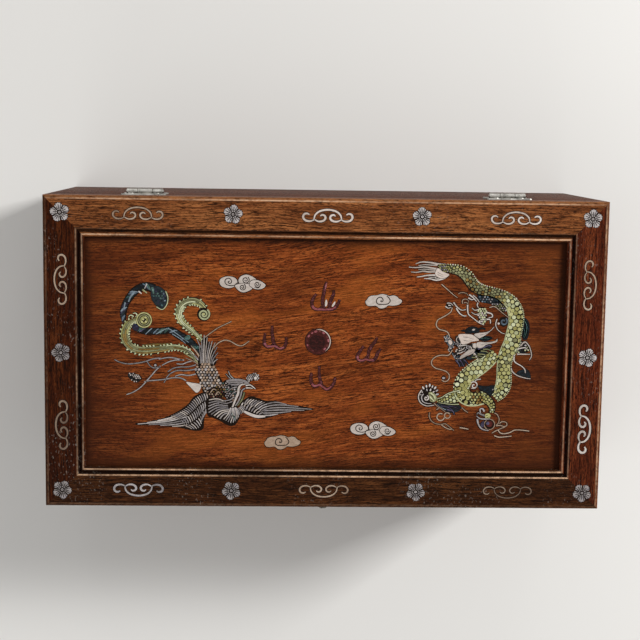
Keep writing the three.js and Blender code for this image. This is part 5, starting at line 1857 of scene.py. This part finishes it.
def turned(mesh, profile, centre, count, axis="y", lobes=0, scallop=0.0):
    """A turned shape. The profile gives place along the axis and radius."""
    rings = []
    for along, radius in profile:
        ring = []
        for i in range(count):
            angle = 2 * math.pi * i / count
            reach = radius * (1 - scallop * (1 - math.cos(lobes * angle)))
            u, v = reach * math.sin(angle), reach * math.cos(angle)
            if axis == "y":
                ring.append((centre[0] + u, along, centre[1] + v))
            else:
                ring.append((along, centre[0] + u, centre[1] + v))
        rings.append(ring)
    skin(mesh, rings)


def slab(mesh, outline, back, front, edge):
    """A plate in the x and z directions with a rounded front edge."""
    turn = math.copysign(1, signed_area(outline))
    out = math.copysign(edge, front - back)
    levels = (0, back), (0, front - out), (edge * 0.3, front - out * 0.3), (edge, front)
    skin(mesh, [[(p.x, y, p.y) for p in moved_left(outline, turn * pull)] for pull, y in levels])


def bar(mesh, points, back, front, edge, closed=False):
    """A flat bar that follows x, z, half width points, with rounded edges."""
    middle, half_thick = (back + front) / 2, abs(front - back) / 2
    count = len(points)
    rings = []
    for i, (x, z, half) in enumerate(points):
        before = points[(i - 1) % count] if closed else points[max(i - 1, 0)]
        after = points[(i + 1) % count] if closed else points[min(i + 1, count - 1)]
        side = left_of(Vector((after[0] - before[0], after[1] - before[1])).normalized())
        ring = []
        for cu, cv, start in ((1, 1, 0), (-1, 1, 90), (-1, -1, 180), (1, -1, 270)):
            for du, dv in arc(0, 0, edge, start, start + 90, 3):
                u, v = cu * (half - edge) + du, cv * (half_thick - edge) + dv
                ring.append((x + side.x * u, middle + v, z + side.y * u))
        rings.append(ring)
    skin(mesh, rings, closed)


def forge(name, mesh, body, node):
    bmesh.ops.recalc_face_normals(mesh, faces=mesh.faces)
    smooth_by_angle(link(name, mesh, [WHITE_METAL], body, node, "white_metal"))


def knuckle(mesh, start, end, up):
    """One rolled part of the barrel, open for the pin, with the sheet that runs on into its leaf."""
    flat_end = math.degrees(math.acos((LEAF_FRONT - HINGE_Y) / BARREL_RADIUS))
    outer = [(LEAF_BACK, HINGE_Z + up * TAB), (LEAF_BACK, HINGE_Z + up * 0.2)]
    roll = arc(HINGE_Y, HINGE_Z, BARREL_RADIUS, 186, 360 + flat_end, 36)
    outer += [(y, HINGE_Z + up * (z - HINGE_Z)) for y, z in roll]
    outer.append((LEAF_FRONT, HINGE_Z + up * TAB))
    inner = []
    for y, z in outer:
        way = Vector((y - HINGE_Y, z - HINGE_Z)).normalized() * BORE_RADIUS
        inner.append((HINGE_Y + way.x, HINGE_Z + way.y))
    rings = []
    for x, share in (
        (start, KNUCKLE_END_SHARE), (start + KNUCKLE_ROUNDING, 1.0), (end - KNUCKLE_ROUNDING, 1.0),
        (end, KNUCKLE_END_SHARE),
    ):
        rings.append(
            [(x, HINGE_Y + (y - HINGE_Y) * share, HINGE_Z + (z - HINGE_Z) * share) for y, z in outer]
        )
    rings += [[(x, y, z) for y, z in inner] for x in (end, start)]
    skin(mesh, rings, closed=True)


def screw(mesh, x, z, turn):
    """A slotted head with a low dome."""
    floor = [(LEAF_FRONT - 0.3, 1.95), (LEAF_FRONT + 0.08, 1.95), (LEAF_FRONT + 0.1, 0.01)]
    turned(mesh, floor, (x, z), 24)
    for side in (-1, 1):
        half_head = [(side * u, v) for v, u in arc(0, 0, SCREW_RADIUS, SLOT_DEGREES, 180 - SLOT_DEGREES, 18)]
        slab(mesh, turned_to(half_head, x, z, turn), LEAF_FRONT - 0.2, LEAF_FRONT + SCREW_DOME, LEAF_EDGE)


def leaf_outline(half):
    """The scalloped edge of a leaf, from the barrel outwards. half is half the barrel's length."""
    side_line = [
        (half, 2.4), (half + 0.15, 4.0), (half + 0.6, 6.0), (half + 1.6, 8.2), (half + 2.8, 9.6),
        (half + 2.9, 10.2), (half + 2.4, 11.0), (half + 1.3, 11.4), (half - 1.6, 11.2), (half * 0.62, 10.6),
        (half * 0.4, 10.55), (half * 0.2, 10.9), (half * 0.08, 11.3),
    ]
    return side_line + [(0, 11.45)] + [(-u, v) for u, v in reversed(side_line)]


def hinge(side, centre):
    half = BARREL_LENGTH / 2
    inner_end = KNUCKLE + KNUCKLE_GAP
    owned = {
        "lid": [(centre - KNUCKLE, centre + KNUCKLE)],
        "body": [(centre - half, centre - inner_end), (centre + inner_end, centre + half)],
    }
    for part, body, up in (("lid", "lid", 1), ("body", "box_body", -1)):
        mesh = bmesh.new()
        outline = [(centre + u, HINGE_Z + up * v) for u, v in leaf_outline(half)]
        slab(mesh, outline, LEAF_BACK, LEAF_FRONT, LEAF_EDGE)
        for start, end in owned[part]:
            knuckle(mesh, start, end, up)
        for way in (-1, 1):
            slot_turn = 35 + 50 * way + 20 * up + centre
            screw(mesh, centre + way * SCREW_SPREAD, HINGE_Z + up * SCREW_ROW, slot_turn)
        forge(f"{side}_{part}_leaf", mesh, body, f"{side}_hinge_{part}_leaf")
    mesh = bmesh.new()
    end = half + PIN_OVERHANG
    profile = [
        (-end, 0.5), (-end + 0.12, 1.05), (-end + 0.3, PIN_HEAD_RADIUS), (-half - 0.02, PIN_HEAD_RADIUS),
    ]
    profile.append((-half + 0.02, PIN_RADIUS))
    profile += [(-u, r) for u, r in reversed(profile)]
    turned(mesh, [(centre + u, r) for u, r in profile], (HINGE_Y, HINGE_Z), 24, "x")
    forge(f"{side}_hinge_pin_turned", mesh, "box_body", f"{side}_hinge_pin")


for side in ("left", "right"):
    (low_x, _, _), (high_x, _, _) = corners(f"{side}_hinge_pin")
    hinge(side, (low_x + high_x) / 2)


# How far out from the front wall, and radius
ROSETTE = [
    (0.0, 6.45), (0.35, 6.45), (0.75, 6.2), (0.95, 5.7), (0.9, 5.2), (0.7, 4.7), (0.62, 4.0), (0.7, 3.2),
    (0.95, 2.6), (0.98, 1.4),
]
HEADED_POST = [
    (0.5, 1.5), (3.2, 1.5), (3.22, 2.3), (3.35, 2.6), (3.6, 2.7), (3.9, 2.55), (4.2, 2.0), (4.4, 1.2),
    (4.5, 0.3),
]
HOOK_BACK = FRONT - 1.3
HOOK_FRONT = FRONT - 2.9
HOOK_REACH = 2.8
HOOK_EDGE = 0.4
ARM_START = 2.5
ARM_STEPS = 12
JAW_STEPS = 30
JAW_START = -108
JAW_TURN = 252
LATCH_SPAN = 18
PIVOT_Z = HINGE_Z - LATCH_SPAN / 2


def latch_post(name, z, body, node):
    mesh = bmesh.new()
    turned(mesh, [(FRONT - rise, radius) for rise, radius in ROSETTE], (0, z), 96, lobes=8, scallop=0.035)
    turned(mesh, [(FRONT - rise, radius) for rise, radius in HEADED_POST], (0, z), 40)
    forge(name, mesh, body, node)


def latch_hook():
    """An eye round the body's post, an arm down from it and a jaw that closes round the lid's post."""
    mesh = bmesh.new()
    eye = [(*polar(0, PIVOT_Z, HOOK_REACH, degrees), 1.0) for degrees in range(0, 360, 9)]
    bar(mesh, eye, HOOK_BACK, HOOK_FRONT, HOOK_EDGE, closed=True)
    # The arm is a little thinner than eye and jaw, so no two faces lie in one plane
    arm = []
    for i in range(ARM_STEPS + 1):
        z = PIVOT_Z - ARM_START - (LATCH_SPAN - 5.1) * i / ARM_STEPS
        arm.append((0, z, 1.05 + 0.55 * math.sin(math.pi * i / ARM_STEPS)))
    bar(mesh, arm, HOOK_BACK - 0.1, HOOK_FRONT + 0.1, 0.35)
    jaw = []
    for i in range(JAW_STEPS + 1):
        half = 1.0 - 0.45 * max(0, 5 - i) / 5 - 0.35 * max(0, i - 24) / 6
        spot = polar(0, PIVOT_Z - LATCH_SPAN, -HOOK_REACH, JAW_START + JAW_TURN * i / JAW_STEPS)
        jaw.append((*spot, half))
    bar(mesh, jaw, HOOK_BACK, HOOK_FRONT, HOOK_EDGE)
    forge("latch_hook_forged", mesh, "hook", "latch_hook")


latch_post("latch_body_post_turned", PIVOT_Z, "box_body", "latch_body_post")
latch_post("latch_lid_post_turned", PIVOT_Z + LATCH_SPAN, "lid", "latch_lid_post")
latch_hook()


# Stage

FLOOR_HALF = 4.0
# Name, place, aim, size, power
LAMPS = [
    ("key_lamp", (1.9, 0.85, 1.4), (0, 0, 0.15), 0.45, 56),
    ("back_lamp", (0.1, 1.7, 1.05), (0, 0, 0.15), 1.2, 5),
    ("fill_lamp", (-1.3, -0.6, 1.6), (0, 0, 0.1), 1.6, 8),
    ("front_lamp", (-0.2, -1.8, 0.9), (0, 0, 0.08), 1.4, 8),
]
AMBIENT = 0.28
CAMERA_LENS = 77.09
CAMERA_SENSOR = 36
CAMERA_PLACE = (-0.0337, 0.1441, 1.0718)
CAMERA_TURN = (-7.48, -1.73, 0.84)


def stage():
    floor = Finish("floor")
    floor.surface(srgb(228, 226, 222), 0.8)
    mesh = bmesh.new()
    bmesh.ops.create_grid(mesh, x_segments=1, y_segments=1, size=FLOOR_HALF)
    data = bpy.data.meshes.new("floor")
    mesh.to_mesh(data)
    mesh.free()
    data.materials.append(floor.material)
    add("floor", data)

    for name, place, aim, size, power in LAMPS:
        lamp = bpy.data.lights.new(name, "AREA")
        lamp.size = size
        lamp.energy = power
        holder = add(name, lamp)
        holder.location = place
        holder.rotation_euler = (Vector(aim) - Vector(place)).to_track_quat("-Z", "Y").to_euler()

    # Camera, glossy and transmission rays see white, and the rest a soft light
    sky = Finish("studio", "worlds")
    rays = sky.node("ShaderNodeLightPath").socket.node.outputs
    seen = Wire(sky, rays["Is Camera Ray"]) + Wire(sky, rays["Is Glossy Ray"]) + Wire(
        sky, rays["Is Transmission Ray"],
    )
    strength = seen.least(1.0) * (1 - AMBIENT) + AMBIENT
    light = sky.node("ShaderNodeBackground", {}, {"Color": (1, 1, 1, 1), "Strength": strength})
    sky.node("ShaderNodeOutputWorld", {}, {"Surface": light})
    bpy.context.scene.world = sky.material


def camera():
    lens = bpy.data.cameras.new("camera")
    lens.lens = CAMERA_LENS
    lens.sensor_width = CAMERA_SENSOR
    holder = add("camera", lens)
    holder.location = CAMERA_PLACE
    holder.rotation_euler = [math.radians(a) for a in CAMERA_TURN]
    bpy.context.scene.camera = holder


stage()
camera()
bpy.context.scene.view_settings.view_transform = "Standard"
